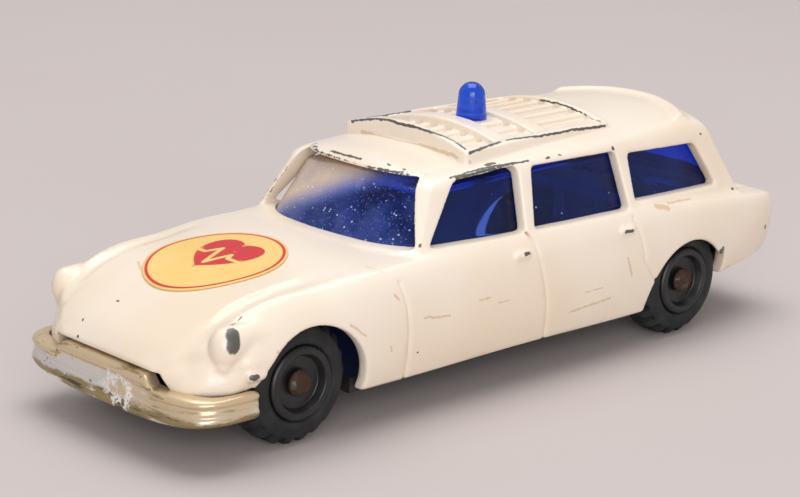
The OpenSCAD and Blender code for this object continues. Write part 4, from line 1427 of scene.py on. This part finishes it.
@dataclass
class Bodywork:
    """Casting and its window liner, worked out as distance fields on one grid and skinned."""

    tub: Tub = field(default_factory=Tub)
    cabin: Cabin = field(default_factory=Cabin)
    rack: Rack = field(default_factory=Rack)
    step: float = 0.12
    # Corners of the windows and points of the seams: (distance from the nose, height above the belt) on the
    # side, (distance from the middle, height above the belt) at the ends
    side_windows: Sequence[Table] = (
        ((26, -0.15), (30.05, 4.75), (37.6, 5.1), (36.9, -0.55)),
        ((38.1, -0.45), (39.2, 4.85), (50.1, 4.65), (50.6, -0.75)),
        ((51.6, 0.05), (51.7, 4.25), (61.7, 3.75), (64.1, -0.43)))
    screen_half: Table = ((10.2, -0.2), (7.5, 5.15))
    gate_half: Table = ((7.4, 0.3), (6.4, 4))
    screen_cut: float = 8.5
    gate_cut: float = 7.7
    window_round: float = 0.55
    seams: Sequence[Table] = (
        ((21.3, -1.9), (21.9, -4.1), (22.1, -6.8), (22.5, -12)),
        ((37.0, -0.5), (37.5, -1.4), (38.0, -3.7), (38.6, -6.5), (39.6, -12)),
        ((50.5, -1.2), (51.3, -3.2), (51.8, -5.5), (54.4, -8.5)))
    gate_seam: Table = ((0, -3.5), (7.2, -3.5), (7.6, -2.1))
    gate_run: float = 4.1
    seam_w: float = 0.26
    seam_d: float = 0.22
    pod_r: float = 1.35
    pod_l: float = 4
    pod_climb: float = 0.8
    pod_taper: float = 0.3
    pod_wide: float = 0.95
    pod_tall: float = 1.25
    # Places of the pod, the lamp and the handles: back from the nose, in from the flank and below the belt
    pod_place: Triple = (3.9, 1.8, 4.25)
    recess_from: Pair = (31, 7.4)
    recess_run: float = 2
    # Depth, height and spread of the set-back under the pod and of the flare below it
    recess: Table = ((0.62, 8.3, 1.0), (0.25, 6.2, 0.7))
    bead_r: float = 0.65
    bead_place: Triple = (33.2, 11.0, 8.5)
    lamp_r: float = 0.55
    lamp_l: float = 1.1
    lamp_place: Triple = (5.4, 0.55, 6.65)
    handle_r: float = 0.4
    handle_l: float = 1.3
    handle_sets: Pair = (35, 48.6)
    handle_place: Pair = (0.55, 2.1)
    lip_set: float = 10.4
    lip_sweep: float = 2.6
    lip_in: float = 1.6
    lip_r: float = 0.45
    boss_d: float = 4.6
    boss_proud: float = 0.05
    stem_room_d: float = 1.7
    arch_r: float = 5.8
    arch_drops: Pair = (0.85, 1.7)
    arch_backs: Pair = (0.5, 0)
    arch_depth: float = 2.7
    well_gap: float = 0.35
    well_in: float = 6.6
    well_out: float = 11.6
    notch: Table = ((-8.4, 3.9), (8.4, 3.9), (7.2, 7.45), (-7.2, 7.45))
    notch_depth: float = 5
    # Posts ahead of the front axle and of the tail; a rivet's room (width, depth); rib (Y, thickness, length)
    post_sets: Pair = (5.2, 5.15)
    post_d: float = 4.1
    post_feet: Pair = (3.0, 5.2)
    rivet_room: Pair = (2.1, 2.55)
    support_drop: float = 2.4
    rib: Triple = (4.6, 1.4, 2.0)
    rib_foot: float = 6.25
    glass_gap: float = 0.04
    glass_t: float = 0.8
    glass_foot: float = 0.7
    clip_room_d: float = 4.6
    # Grid: room round the casting, and its lowest and highest place
    grid_room: float = 0.5
    grid_z: Pair = (2.6, 22.9)
    # Rounded edges
    roof_round: float = 0.45
    window_edge: float = 0.3
    boss_round: float = 0.2
    hollow_round: float = 0.15
    arch_round: float = 0.25
    notch_round: float = 0.3
    notch_edge: float = 0.25
    seam_round: float = 0.1
    liner_round: float = 0.2
    # Fillets where forms meet
    belt_fillet: float = 0.5
    rack_fillet: float = 0.12
    lip_fillet: float = 0.7
    pod_fillet: float = 0.2
    bead_fillet: float = 0.12
    trim_fillet: float = 0.15
    # How far below an edge and above a corner the material's masks look, and the depth where the inside's
    # painted shade starts
    edge_reach: float = 0.32
    crease_reach: float = 0.7
    inside_from: float = 0.75
    inside_run: float = 0.45

    @property
    def beacon_x(self) -> float:
        """Middle of the beacon, from the frame."""
        low, high = (np.array(c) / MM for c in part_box("roof_beacon"))
        return (low[0] + high[0]) / 2

    def bar(self, at: Spots, place: Sequence[float], radius: float, length: float) -> Array:
        """Rounded bar on the flank: distance from a line that runs back from its front end, less the radius.

        Args:
            at: The grid's X, Y and Z places.
            place: The line's front end.
            radius: The bar's radius.
            length: The line's length.

        Returns:
            The distance field.
        """
        x, y, z = at
        along = np.maximum(np.abs(x - place[0] + length / 2) - length / 2, 0)
        return np.sqrt(along ** 2 + (y - place[1]) ** 2 + (z - place[2]) ** 2) - radius

    def pod(self, at: Spots) -> Array:
        """Headlamp pod: a ball that is taller than wide, drawn back and up while it narrows.

        Args:
            at: The grid's X, Y and Z places.

        Returns:
            The distance field.
        """
        x, y, z = at
        corner = (CAR.nose_x, CAR.half_w, CAR.belt_z)
        px, py, pz = (c - p for c, p in zip(corner, self.pod_place))
        t = np.clip((px - x) / self.pod_l, 0, 1)
        radius = self.pod_r - self.pod_taper * t
        tall = self.pod_tall - (self.pod_tall - 1) * t
        up = (z - pz - self.pod_climb * t) / tall
        off = (x - px + t * self.pod_l) ** 2 + ((y - py) / self.pod_wide) ** 2 + up ** 2
        return np.sqrt(off) - radius

    def under_pod(self, at: Spots) -> Array:
        """How far the wing's front corner is set back below the pod, and flared (negative) at its lower edge.

        Two bell curves in height are kept to the corner by smooth steps.

        Args:
            at: The grid's X, Y and Z places.

        Returns:
            The set-back in millimetres.
        """
        x, y, z = at
        ahead, aside = (ease((a - b) / self.recess_run) for a, b in zip((x, y), self.recess_from))
        set_back, flare = (depth * np.exp(-((z - height) / spread) ** 2)
                           for depth, height, spread in self.recess)
        return (ahead * aside * (set_back - flare)).astype(np.float32)

    def lip(self, at: Spots) -> Array:
        """Rear lip of the roof: a bead along a parabola in plan, at the roof's own height.

        Args:
            at: The grid's X, Y and Z places.

        Returns:
            The distance field.
        """
        x, y, z = at
        reach = self.cabin.half_y - self.cabin.lean - self.lip_in
        s = y / reach
        off = x - CAR.tail_x - self.lip_set - self.lip_sweep * s ** 2
        off = off / np.sqrt(1 + (2 * self.lip_sweep * s / reach) ** 2)
        bead = np.sqrt(off ** 2 + (z - self.cabin.roof_at(x, y)) ** 2) - self.lip_r
        return np.maximum(bead, y - reach)

    def window_field(self, at: Spots) -> Array:
        """All the window cut-outs, carried right through the cabin.

        Args:
            at: The grid's X, Y and Z places.

        Returns:
            The distance field, negative in the cut-outs.
        """
        x, y, z = at
        cuts = [convex_field([(CAR.nose_x - c[0], CAR.belt_z + c[1]) for c in w], x, z, self.window_round)
                for w in self.side_windows]
        for half, limit in ((self.screen_half, self.cabin.screen_x - self.screen_cut - x),
                            (self.gate_half, x - self.cabin.gate_x - self.gate_cut)):
            corners = [(c[0], CAR.belt_z + c[1]) for c in half]
            corners += [(-c[0], CAR.belt_z + c[1]) for c in reversed(half)]
            cuts.append(np.maximum(convex_field(corners, y, z, self.window_round), limit))
        return reduce(np.minimum, cuts)

    def supports(self, at: Spots) -> Array:
        """Posts for the rivets, and cross webs with ribs over the axles.

        Args:
            at: The grid's X, Y and Z places.

        Returns:
            The distance field.
        """
        x, y, z = at
        top = z - (CAR.belt_z - self.support_drop)
        rib_y, rib_t, rib_l = self.rib
        posts = (CAR.axle_x(End.FRONT) + self.post_sets[0], CAR.tail_x + self.post_sets[1])
        made = []
        for end, foot, post_x in zip(End, self.post_feet, posts):
            far = np.hypot(x - post_x, y)
            hole = np.maximum(far - self.rivet_room[0] / 2, z - foot - self.rivet_room[1])
            post = np.maximum(np.maximum(far - self.post_d / 2, foot - z), -hole)
            slab = np.abs(x - CAR.axle_x(end)) - rib_l / 2
            web = np.maximum(slab, CAR.tyre_d + self.well_gap - z)
            rib = np.maximum(np.maximum(slab, np.abs(y - rib_y) - rib_t / 2), self.rib_foot - z)
            made.append(np.minimum(np.minimum(post, web), rib))
        return np.maximum(reduce(np.minimum, made), top)

    def trimmed(self, outer: Array, at: Spots) -> Array:
        """Adds the rack, the lip, the pod, the side lamp, the handles and the beacon's boss to the outside.

        Args:
            outer: Field of the tub and the cabin.
            at: The grid's X, Y and Z places.

        Returns:
            The field with all that is raised on it.
        """
        x, y, z = at
        rim, slats = self.rack.fields(self.cabin, at)
        outer = smin(smin(outer, slats, self.rack_fillet), rim, self.rack_fillet)
        outer = smin(outer, self.lip(at), self.lip_fillet)
        outer = smin(outer, self.pod(at), self.pod_fillet)
        bead = np.sqrt(sum((a - b) ** 2 for a, b in zip(at, self.bead_place))) - self.bead_r
        outer = smin(outer, bead, self.bead_fillet)
        corner = (CAR.nose_x, CAR.half_w, CAR.belt_z)
        lamp = tuple(c - p for c, p in zip(corner, self.lamp_place))
        outer = smin(outer, self.bar(at, lamp, self.lamp_r, self.lamp_l), self.trim_fillet)
        for d in self.handle_sets:
            grip = tuple(c - p for c, p in zip(corner, (d, *self.handle_place)))
            outer = smin(outer, self.bar(at, grip, self.handle_r, self.handle_l), self.trim_fillet)
        roof = float(self.cabin.roof_at(np.array(self.beacon_x), np.array(0.0)))
        boss_z = roof + self.rack.slat_h + self.boss_proud
        boss = smax(np.hypot(x - self.beacon_x, y) - self.boss_d / 2 + 0 * z,
                    np.maximum(z - boss_z, boss_z - CAR.wall - z), self.boss_round)
        return smin(outer, boss.astype(np.float32), self.trim_fillet)

    def opened(self, shell: Array, tub: Array, at: Spots) -> Array:
        """Cuts the wheel arches, the bumper's notch, the seams and the stem's hole, and adds the supports.

        Args:
            shell: Field of the hollow casting.
            tub: Field of the lower body, from which the seams' depth counts.
            at: The grid's X, Y and Z places.

        Returns:
            The finished field.
        """
        x, y, z = at
        for end, drop, back in zip(End, self.arch_drops, self.arch_backs):
            ring = np.hypot(x - CAR.axle_x(end) + back, z - CAR.axle_z + drop) - self.arch_r
            shell = smax(shell, -np.maximum(ring, CAR.half_w - self.arch_depth - y), self.arch_round)
            well = np.hypot(x - CAR.axle_x(end), z - CAR.axle_z) - CAR.axle_z - self.well_gap
            shell = np.maximum(shell, -np.maximum(well, np.maximum(self.well_in - y, y - self.well_out)))
        notch = convex_field(self.notch, y, z, self.notch_round)
        notch = np.maximum(notch, CAR.nose_x - self.notch_depth - x)
        shell = smax(shell, -notch, self.notch_edge)
        lines = [path_field([(CAR.nose_x - p[0], CAR.belt_z + p[1]) for p in seam], x, z) - self.seam_w / 2
                 for seam in self.seams]
        gate = path_field([(p[0], CAR.belt_z + p[1]) for p in self.gate_seam], y, z) - self.seam_w / 2
        lines.append(np.maximum(gate, x - CAR.tail_x - self.gate_run))
        for line in lines:
            shell = smax(shell, -np.maximum(line, -(tub + self.seam_d)), self.seam_round)
        stem = np.hypot(x - self.beacon_x, y) - self.stem_room_d / 2
        shell = np.maximum(shell, -np.maximum(stem, CAR.belt_z - z))
        return np.minimum(shell, np.maximum(self.supports(at), tub + CAR.wall / 2))

    def liner(self, room: Array, roof: Array, at: Spots) -> Array:
        """Window liner: a skin that lies a gap inside the room, cut off at its foot and round the clip.

        Args:
            room: Field of the cabin's inside.
            roof: Heights of the roof.
            at: The grid's X, Y and Z places.

        Returns:
            The distance field.
        """
        x, y, z = at
        outside, inside = (np.maximum(room + t, z - roof + CAR.wall + t)
                           for t in (self.glass_gap, self.glass_gap + self.glass_t))
        made = smax(outside, -inside, self.liner_round)
        made = np.maximum(made, CAR.belt_z - self.glass_foot - z)
        return np.maximum(made, -(np.hypot(x - self.beacon_x, y) - self.clip_room_d / 2 + 0 * z))

    def build(self) -> tuple[Piece, Piece]:
        """Builds the casting and the window liner.

        The casting is the tub joined to the cabin, less its windows, plus the rack and the small raised forms,
        less the hollow, the wheel arches, the bumper's notch and the seams.

        Returns:
            The casting and the liner.
        """
        grid = FieldGrid((CAR.tail_x - self.grid_room, 0, self.grid_z[0]),
                         (CAR.nose_x + self.grid_room, CAR.half_w + self.grid_room, self.grid_z[1]), self.step)
        at = grid.axes()
        x, y, z = at
        tub, hollow = (grid.level_set(*self.tub.solid(w)) for w in (0, CAR.wall))
        tub = tub + self.under_pod(at)
        cabin, room = (grid.level_set(*self.cabin.solid(w)) for w in (0, CAR.wall))
        roof = self.cabin.roof_at(x, y).astype(np.float32)
        cabin = smax(cabin, z - roof, self.roof_round)
        cabin = smax(cabin, -self.window_field(at), self.window_edge)
        outer = self.trimmed(smin(tub, cabin, self.belt_fillet), at)
        inner = np.maximum(room, z - roof + CAR.wall)
        shell = smax(outer, -np.minimum(hollow, inner), self.hollow_round)
        shell = self.opened(shell, tub, at)
        whole, shell = grid.mirrored(shell.astype(np.float32))
        outer = grid.mirrored(outer.astype(np.float32))[1]
        shell = soften(shell)
        casting, points, out = whole.skin("body_casting", shell, CASTING_FACES)
        below = whole.sample(shell, points - self.edge_reach * out) / self.edge_reach
        above = whole.sample(shell, points + self.crease_reach * out) / self.crease_reach
        depth = -whole.sample(outer, points)
        give_values(casting, "edge", np.clip(below + 1, 0, 1))
        give_values(casting, "crease", np.clip(1 - above, 0, 1))
        give_values(casting, "inside", np.clip((depth - self.inside_from) / self.inside_run, 0, 1))
        liner = grid.mirrored(self.liner(room, roof, at).astype(np.float32))[1]
        glass = whole.skin("window_liner", soften(liner), PIECE_FACES)[0]
        return casting, glass

    def dress(self, casting: Piece, glass: Piece, view: View) -> None:
        """Paints the casting, with the photograph's marks, and tints the liner.

        Args:
            casting: The casting.
            glass: The liner.
            view: The camera, whose lines of sight place the marks.
        """
        CreamEnamel(marks=view.place_marks(casting)).dress(casting)
        settle(casting, CHASSIS, "body_paint", "body_shell")
        TintedStyrene().dress(glass)
        settle(glass, CHASSIS, "tinted_glazing", "glazing")


@dataclass
class Bumper:
    """Plated moulding round the nose: a profile carried along a squared-off ellipse, with a rounded lump."""

    low_z: float = 3.2
    lift: float = 0.8
    back_x: float = 31.3
    wrap: float = 2.2
    square: float = 0.35
    end_angle: float = 89.55
    end_round: float = 0.9
    out: float = 0.03
    thin: float = 0.45
    top_z: float = 6.25
    brow_z: float = 7.25
    brow: float = 0.9
    # Profile, as distances in from the outline: up the face with shares of the height, then over the rolled
    # top with shares of its fall
    face: Table = ((1.7, 0.05), (0.5, 0), (0.14, 0.08), (0, 0.2), (0.04, 0.32), (0.34, 0.4), (0.2, 0.46),
                   (0.2, 0.56), (0.36, 0.63), (0.28, 0.7))
    roll: Table = ((0.28, 1.1), (0.04, 0.9), (0.06, 0.55), (0.26, 0.18), (0.65, 0), (1.7, 0))
    roll_gap: float = 0.06
    notch_y: float = 7.0
    notch_slant: float = 1.2
    lump_r: Triple = (0.5, 0.9, 1.05)
    lump_y: Pair = (1.2, 3.2)
    lump_z: float = 5.15
    lump_back: float = 0.06
    lump_fillet: float = 0.2
    crease_reach: float = 0.35
    grid_low: Triple = (30.5, -13, 2.9)
    grid_high: Triple = (37.6, 13, 7.6)
    step: float = 0.09
    stations: int = 240

    def plan(self, angle: Array, w: Array) -> tuple[Array, Array]:
        """Squared-off ellipse in plan, drawn in by w: powers of the cosine and sine below one.

        Args:
            angle: Angles round the ellipse, 0 ahead.
            w: How far it is drawn in, in millimetres.

        Returns:
            X and Y.
        """
        base = self.back_x - self.wrap
        c, s = np.cos(angle), np.sin(angle)
        x = base + (CAR.bumper_x - base - w) * np.sign(c) * np.abs(c) ** self.square
        return x, (CAR.half_w + self.out - w) * np.sign(s) * np.abs(s) ** self.square

    def build(self) -> Piece:
        """Builds the moulding: its face profile at each station, joined to the lump as distance fields.

        Returns:
            The object.
        """
        end = np.radians(self.end_angle)
        angle = np.linspace(end, -end, self.stations)[:, None]
        y = np.abs(self.plan(angle, 0.0)[1])
        lip = self.low_z + self.lift * (y / CAR.half_w) ** 2
        slim = 1 - self.thin * np.minimum(1, y / CAR.half_w) ** 6
        top = self.top_z + (self.brow_z - self.top_z) * ease((self.notch_y - y) / self.notch_slant)
        face = np.array(self.face)
        roll = np.array(self.roll)
        w = np.concatenate([face[:, 0], roll[:, 0]])[None] * slim
        low = lip + (self.top_z - lip) * face[None, :, 1]
        fall = np.minimum(self.brow, (top - low[:, -1:]) / self.roll[0][1] - self.roll_gap)
        z = np.concatenate([low, top - fall * roll[None, :, 1]], 1)
        x, y = self.plan(angle, w)
        rings = np.stack([x, y, z], -1)
        n, m = rings.shape[:2]
        middles = rings[[0, -1]].mean(1)
        j = np.arange(m)
        caps = [np.stack([base + j, base + (j + 1) % m, np.full(m, n * m + k)], -1)
                for k, base in enumerate((0, (n - 1) * m))]
        grid = FieldGrid(self.grid_low, self.grid_high, self.step)
        points = np.concatenate([rings.reshape(-1, 3), middles])
        made = grid.level_set(points, grid_quads(n, m, False, True), np.concatenate(caps))
        gx, gy, gz = grid.axes()
        rx, ry, rz = self.lump_r
        mid, half = sum(self.lump_y) / 2, (self.lump_y[1] - self.lump_y[0]) / 2
        ahead = (gx - CAR.bumper_x + rx + self.lump_back) / rx
        off = ahead ** 2 + (np.maximum(np.abs(gy - mid) - half, 0) / ry) ** 2
        lump = (np.sqrt(off + ((gz - self.lump_z) / rz) ** 2) - 1) * rx
        made = smin(made, lump.astype(np.float32), self.lump_fillet)
        made = soften(smax(made, float(rings[0, :, 0].min()) - gx, self.end_round))
        bumper, points, out = grid.skin("plated_bumper", made, PIECE_FACES)
        above = grid.sample(made, points + self.crease_reach * out) / self.crease_reach
        give_values(bumper, "crease", np.clip(1 - above, 0, 1))
        return bumper

    def dress(self, made: Piece) -> None:
        """Plates the moulding."""
        WornPlating().dress(made)
        settle(made, CHASSIS, "bumper_plating", "front_bumper")


@dataclass
class Beacon:
    """Beacon: a dome on a round foot, with a stem through the roof."""

    dome_d: float = 2.9
    height: float = 3.4
    stem_d: float = 1.6
    dome_in: float = 0.22
    foot_round: float = 0.12

    def build(self) -> Piece:
        """Builds the beacon as a surface of revolution: a stem, a tapered side and a half round.

        Returns:
            The object.
        """
        low, high = (np.array(c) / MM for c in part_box("roof_beacon"))
        foot = high[2] - self.height
        r = self.dome_d / 2 - self.dome_in
        a = np.linspace(0, np.pi / 2, 24)
        dome = np.stack([r * np.cos(a), self.height - r + r * np.sin(a)], -1) + [0, foot]
        stem = [(0, low[2]), (self.stem_d / 2, low[2]), (self.stem_d / 2, foot), (self.dome_d / 2, foot)]
        start = rounded(stem + [tuple(dome[0])], self.foot_round, False)[:-1]
        outline = np.concatenate([start, dome])
        outline[-1, 0] = 0
        centre = ((low[0] + high[0]) / 2, (low[1] + high[1]) / 2, 0)
        return turned("beacon_dome", outline, centre, "z", False, 96)

    def dress(self, made: Piece) -> None:
        """Gives the beacon its clear blue."""
        BeaconStyrene().dress(made)
        settle(made, CHASSIS, "beacon_blue", "roof_beacon")


@dataclass
class Label:
    """Round paper label that follows the bonnet, with a plain heart crossed by a pulse line in a ring."""

    diameter: float = 12.2
    nose_set: float = 11.4
    gap: float = 0.03
    thickness: float = 0.12
    ring_r: float = 5.78
    ring_w: float = 0.26
    heart: float = 2.7
    heart_shift: float = 0.15
    least_slope: float = 0.35
    pulse: Table = ((-6, 0), (-1.7, 0), (-1.0, 1.3), (0.1, -1.6), (0.9, 0.7), (1.3, 0), (6, 0))
    pulse_w: float = 0.42
    pulse_shift: float = 0.3
    rings: int = 64
    spokes: int = 320

    def drawing(self, u: Array, v: Array) -> Array:
        """Distance from the printed lines, negative on the ink.

        The heart is (u2 + v2 - 1) cubed less u2 v3, over its slope; the pulse line is cut out of it; the ring
        is the distance from a circle.

        Args:
            u: Places across the car, in millimetres.
            v: Places towards the windscreen.

        Returns:
            The distance in millimetres.
        """
        a, b = u / self.heart, v / self.heart - self.heart_shift
        c = a * a + b * b - 1
        value = c ** 3 - a * a * b ** 3
        slope = np.hypot(6 * a * c * c - 2 * a * b ** 3, 6 * b * c * c - 3 * a * a * b * b)
        heart = value / np.maximum(slope, self.least_slope) * self.heart
        heart = np.maximum(heart, self.pulse_w / 2 - path_field(self.pulse, u, v - self.pulse_shift))
        ring = np.abs(np.hypot(u, v) - self.ring_r) - self.ring_w / 2
        return np.minimum(heart, ring)

    def build(self) -> Piece:
        """Builds the label: a disc draped on the bonnet, with an upper and a lower face and a rim.

        Returns:
            The object.
        """
        centre = CAR.nose_x - self.nose_set
        r = np.linspace(0, self.diameter / 2, self.rings)[None]
        angle = np.linspace(0, 2 * np.pi, self.spokes, endpoint=False)[:, None]
        x, y = centre + r * np.cos(angle), r * np.sin(angle)
        z = Tub().top_at(x, y) + self.gap
        upper, lower = np.stack([x, y, z + self.thickness], -1), np.stack([x, y, z], -1)
        points = np.concatenate([upper, lower[:, ::-1]], 1)
        faces = grid_quads(self.spokes, 2 * self.rings, True, False)
        made = new_object("label_sheet", points.reshape(-1, 3), faces)
        close_up(made)
        spots = places(made)
        give_values(made, "print", self.drawing(spots[:, 1], centre - spots[:, 0]))
        return made

    def dress(self, made: Piece) -> None:
        """Prints the label."""
        PrintedPaper().dress(made)
        settle(made, CHASSIS, "label_paper", "bonnet_label")


@dataclass
class Axle:
    """Steel wire with a domed head at each end."""

    end: End
    wire_d: float = 1.6
    head_d: float = 2.3
    head_y: float = 10.95
    head_h: float = 0.75
    head_crown: float = 0.6
    head_edge: float = 0.25
    head_round: float = 0.14

    def build(self) -> Piece:
        """Builds the axle: half its outline and the mirror image, turned round the Y axis.

        Returns:
            The object.
        """
        half = [(0, self.head_y + self.head_h), (self.head_d / 3, self.head_y + self.head_crown),
                (self.head_d / 2, self.head_y + self.head_edge), (self.head_d / 2, self.head_y),
                (self.wire_d / 2, self.head_y)]
        outline = rounded(half + [(r, -y) for r, y in reversed(half)], self.head_round, False)
        centre = (CAR.axle_x(self.end), 0, CAR.axle_z)
        return turned(f"{self.end.value}_axle_wire", outline, centre, "y", False, 64)

    def dress(self, made: Piece) -> None:
        """Rusts the wire."""
        AgedMetal("rusted_steel_wire").dress(made)
        settle(made, f"{self.end.value}_axle", "axle_steel", f"{self.end.value}_axle")


@dataclass
class Wheel:
    """One wheel: a dished hub and a tyre with lugs round its outer shoulder."""

    end: End
    side: Side
    track_y: float = 11.5
    tyre_w: float = 3.6
    hub_d: float = 6.4
    bore_d: float = 1.7
    hub_dish: float = 0.75
    hub_rim: float = 0.7
    hub_slope: float = 0.3
    hub_edge: float = 0.2
    seat_gap: float = 0.02
    tread_w: float = 1.2
    tread_h: float = 0.7
    slot_w: float = 0.75
    slot_run: float = 1.3
    slot_soft: float = 0.2
    slot_start: float = 0.15
    # Corners of the tyre: how far below the tread or above the seat, and how far inside its face
    inner_shoulder: Pair = (0.9, 0.5)
    outer_shoulder: Pair = (0.75, 0.45)
    wall_foot: Pair = (0.5, 0.1)
    seat_in: float = 0.3
    tyre_round: float = 0.28
    hub_round: float = 0.12
    lugs: int = 22

    @property
    def name(self) -> str:
        """Place of the wheel in words."""
        return f"{self.end.value}_{self.side.name.lower()}"

    def lugged(self, radius: Array, along: Array, angle: Array) -> Array:
        """Radius of the tyre: cut down to the tread's floor in slots with soft sides, on the outer shoulder.

        Args:
            radius: Radii before the cut.
            along: Places along the axle.
            angle: Angles round it.

        Returns:
            The radii with the slots.
        """
        r = CAR.axle_z
        pitch = 2 * np.pi * r / self.lugs
        across = np.abs((angle * r / pitch) % 1 - 0.5) * pitch
        slot = 1 - ease((across - self.slot_w / 2 + self.slot_soft / 2) / self.slot_soft)
        outer = np.abs(along) - (self.track_y - self.tread_w - self.slot_run)
        return radius - slot * ease(outer / self.slot_start + 0.5) * np.maximum(radius - r + self.tread_h, 0)

    def build(self) -> tuple[Piece, Piece]:
        """Builds the tyre and the hub, each an outline turned round the axle.

        Returns:
            The tyre and the hub.
        """
        r, seat = CAR.axle_z, self.hub_d / 2 + self.seat_gap
        inner, out = self.track_y - self.tyre_w, self.track_y
        inner_r, inner_y = self.inner_shoulder
        outer_r, outer_y = self.outer_shoulder
        foot_r, foot_y = self.wall_foot
        tread = [(seat, inner), (r - inner_r, inner), (r, inner + inner_y), (r, out - self.tread_w),
                 (r - outer_r, out - outer_y), (seat + foot_r, out - foot_y), (seat, out - self.seat_in)]
        hub_r, bore, face = self.hub_d / 2, self.bore_d / 2, out - self.hub_dish
        dish = [(bore, inner), (hub_r, inner), (hub_r, out - self.hub_edge), (hub_r - self.hub_edge, out),
                (hub_r - self.hub_rim, out), (hub_r - self.hub_rim - self.hub_slope, face), (bore, face)]
        flip = np.array([1, self.side.value])
        centre = (CAR.axle_x(self.end), 0, CAR.axle_z)
        tread, dish = rounded(tread, self.tyre_round, True, 7), rounded(dish, self.hub_round, True, 5)
        tyre = turned(f"{self.name}_tyre_moulding", tread * flip, centre, "y", True, self.lugs * 14,
                      self.lugged)
        hub = turned(f"{self.name}_hub_moulding", dish * flip, centre, "y", True, 96)
        return tyre, hub

    def dress(self, tyre: Piece, hub: Piece) -> None:
        """Gives both their black.

        Args:
            tyre: The tyre.
            hub: The hub.
        """
        MouldedBlack("soft_black_tyre_compound", rough=0.72).dress(tyre)
        settle(tyre, f"{self.name}_wheel", "tyre_rubber", f"{self.name}_tyre")
        MouldedBlack("hard_black_hub_plastic", black="#121214", dust_share=0.35, rough=0.38).dress(hub)
        settle(hub, f"{self.name}_wheel", "hub_plastic", f"{self.name}_hub")


@dataclass(frozen=True)
class Lamp:
    """Square soft lamp aimed at the car: place, width and height of the aim in millimetres, power in watts."""

    name: str
    place: Triple
    width: float
    power: float
    aim_z: float = 10

    def build(self) -> None:
        """Adds the lamp, turned towards the car."""
        data = bpy.data.lights.new(self.name, "AREA")
        data.size, data.energy = self.width * MM, self.power
        made = bpy.data.objects.new(self.name, data)
        made.location = Vector(self.place) * MM
        aim = Vector((0, 0, self.aim_z * MM)) - made.location
        made.rotation_euler = aim.to_track_quat("-Z", "Y").to_euler()
        bpy.context.collection.objects.link(made)


@dataclass
class Studio:
    """Pale table, soft lamps and an even surround."""

    half_floor: float = 1500
    surround: str = "#e9e6ea"
    surround_strength: float = 0.62
    lamps: Sequence[Lamp] = (Lamp("key_softbox", (-70, -60, 560), 480, 2.45),
                             Lamp("low_softbox", (320, 420, 130), 380, 2.0))

    def build(self) -> None:
        """Adds the table, the lamps and the surround."""
        h = self.half_floor
        corners = np.array([(-h, -h, 0), (h, -h, 0), (h, h, 0), (-h, h, 0)], float)
        table = new_object("table_top", corners, np.array([[0, 1, 2, 3]]))
        StageFloor().dress(table)
        for lamp in self.lamps:
            lamp.build()
        world = bpy.data.worlds.new("surround")
        world.use_nodes = True
        tree = world.node_tree
        tree.nodes.clear()
        sky = add(tree, "Background", {"Color": linear(self.surround), "Strength": self.surround_strength})
        add(tree, "OutputWorld", {"Surface": sky})
        bpy.context.scene.world = world
        bpy.context.scene.view_settings.view_transform = "Standard"


def dress_frame_nodes() -> None:
    """Puts finishes on the CAD nodes that keep their own shape."""
    finishes = {
        "base_plate": MouldedBlack("black_painted_zinc", black="#1d1c1d", dust="#4a4038", dust_share=0.6,
                                   rough=0.5),
        "base_rivets": AgedMetal("spun_zinc_rivet", rust_share=0.3),
        "beacon_clip": AgedMetal("spring_steel_clip", metal="#a09c96", rust_share=0.15, rough=0.3),
    }
    for name, finish in finishes.items():
        finish.dress(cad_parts[name])
        LOG.info("%s: CAD node, %s", name, finish.name)


def main() -> None:
    """Builds and dresses the car piece by piece, then the studio."""
    logging.basicConfig(level=logging.INFO, format="%(message)s")
    view = View()
    view.build()
    bodywork = Bodywork()
    bodywork.dress(*bodywork.build(), view)
    for part in (Bumper(), Beacon(), Label(), Axle(End.FRONT), Axle(End.REAR)):
        part.dress(part.build())
    for end in End:
        for side in Side:
            wheel = Wheel(end, side)
            wheel.dress(*wheel.build())
    dress_frame_nodes()
    Studio().build()


if __name__ == "__main__":
    main()
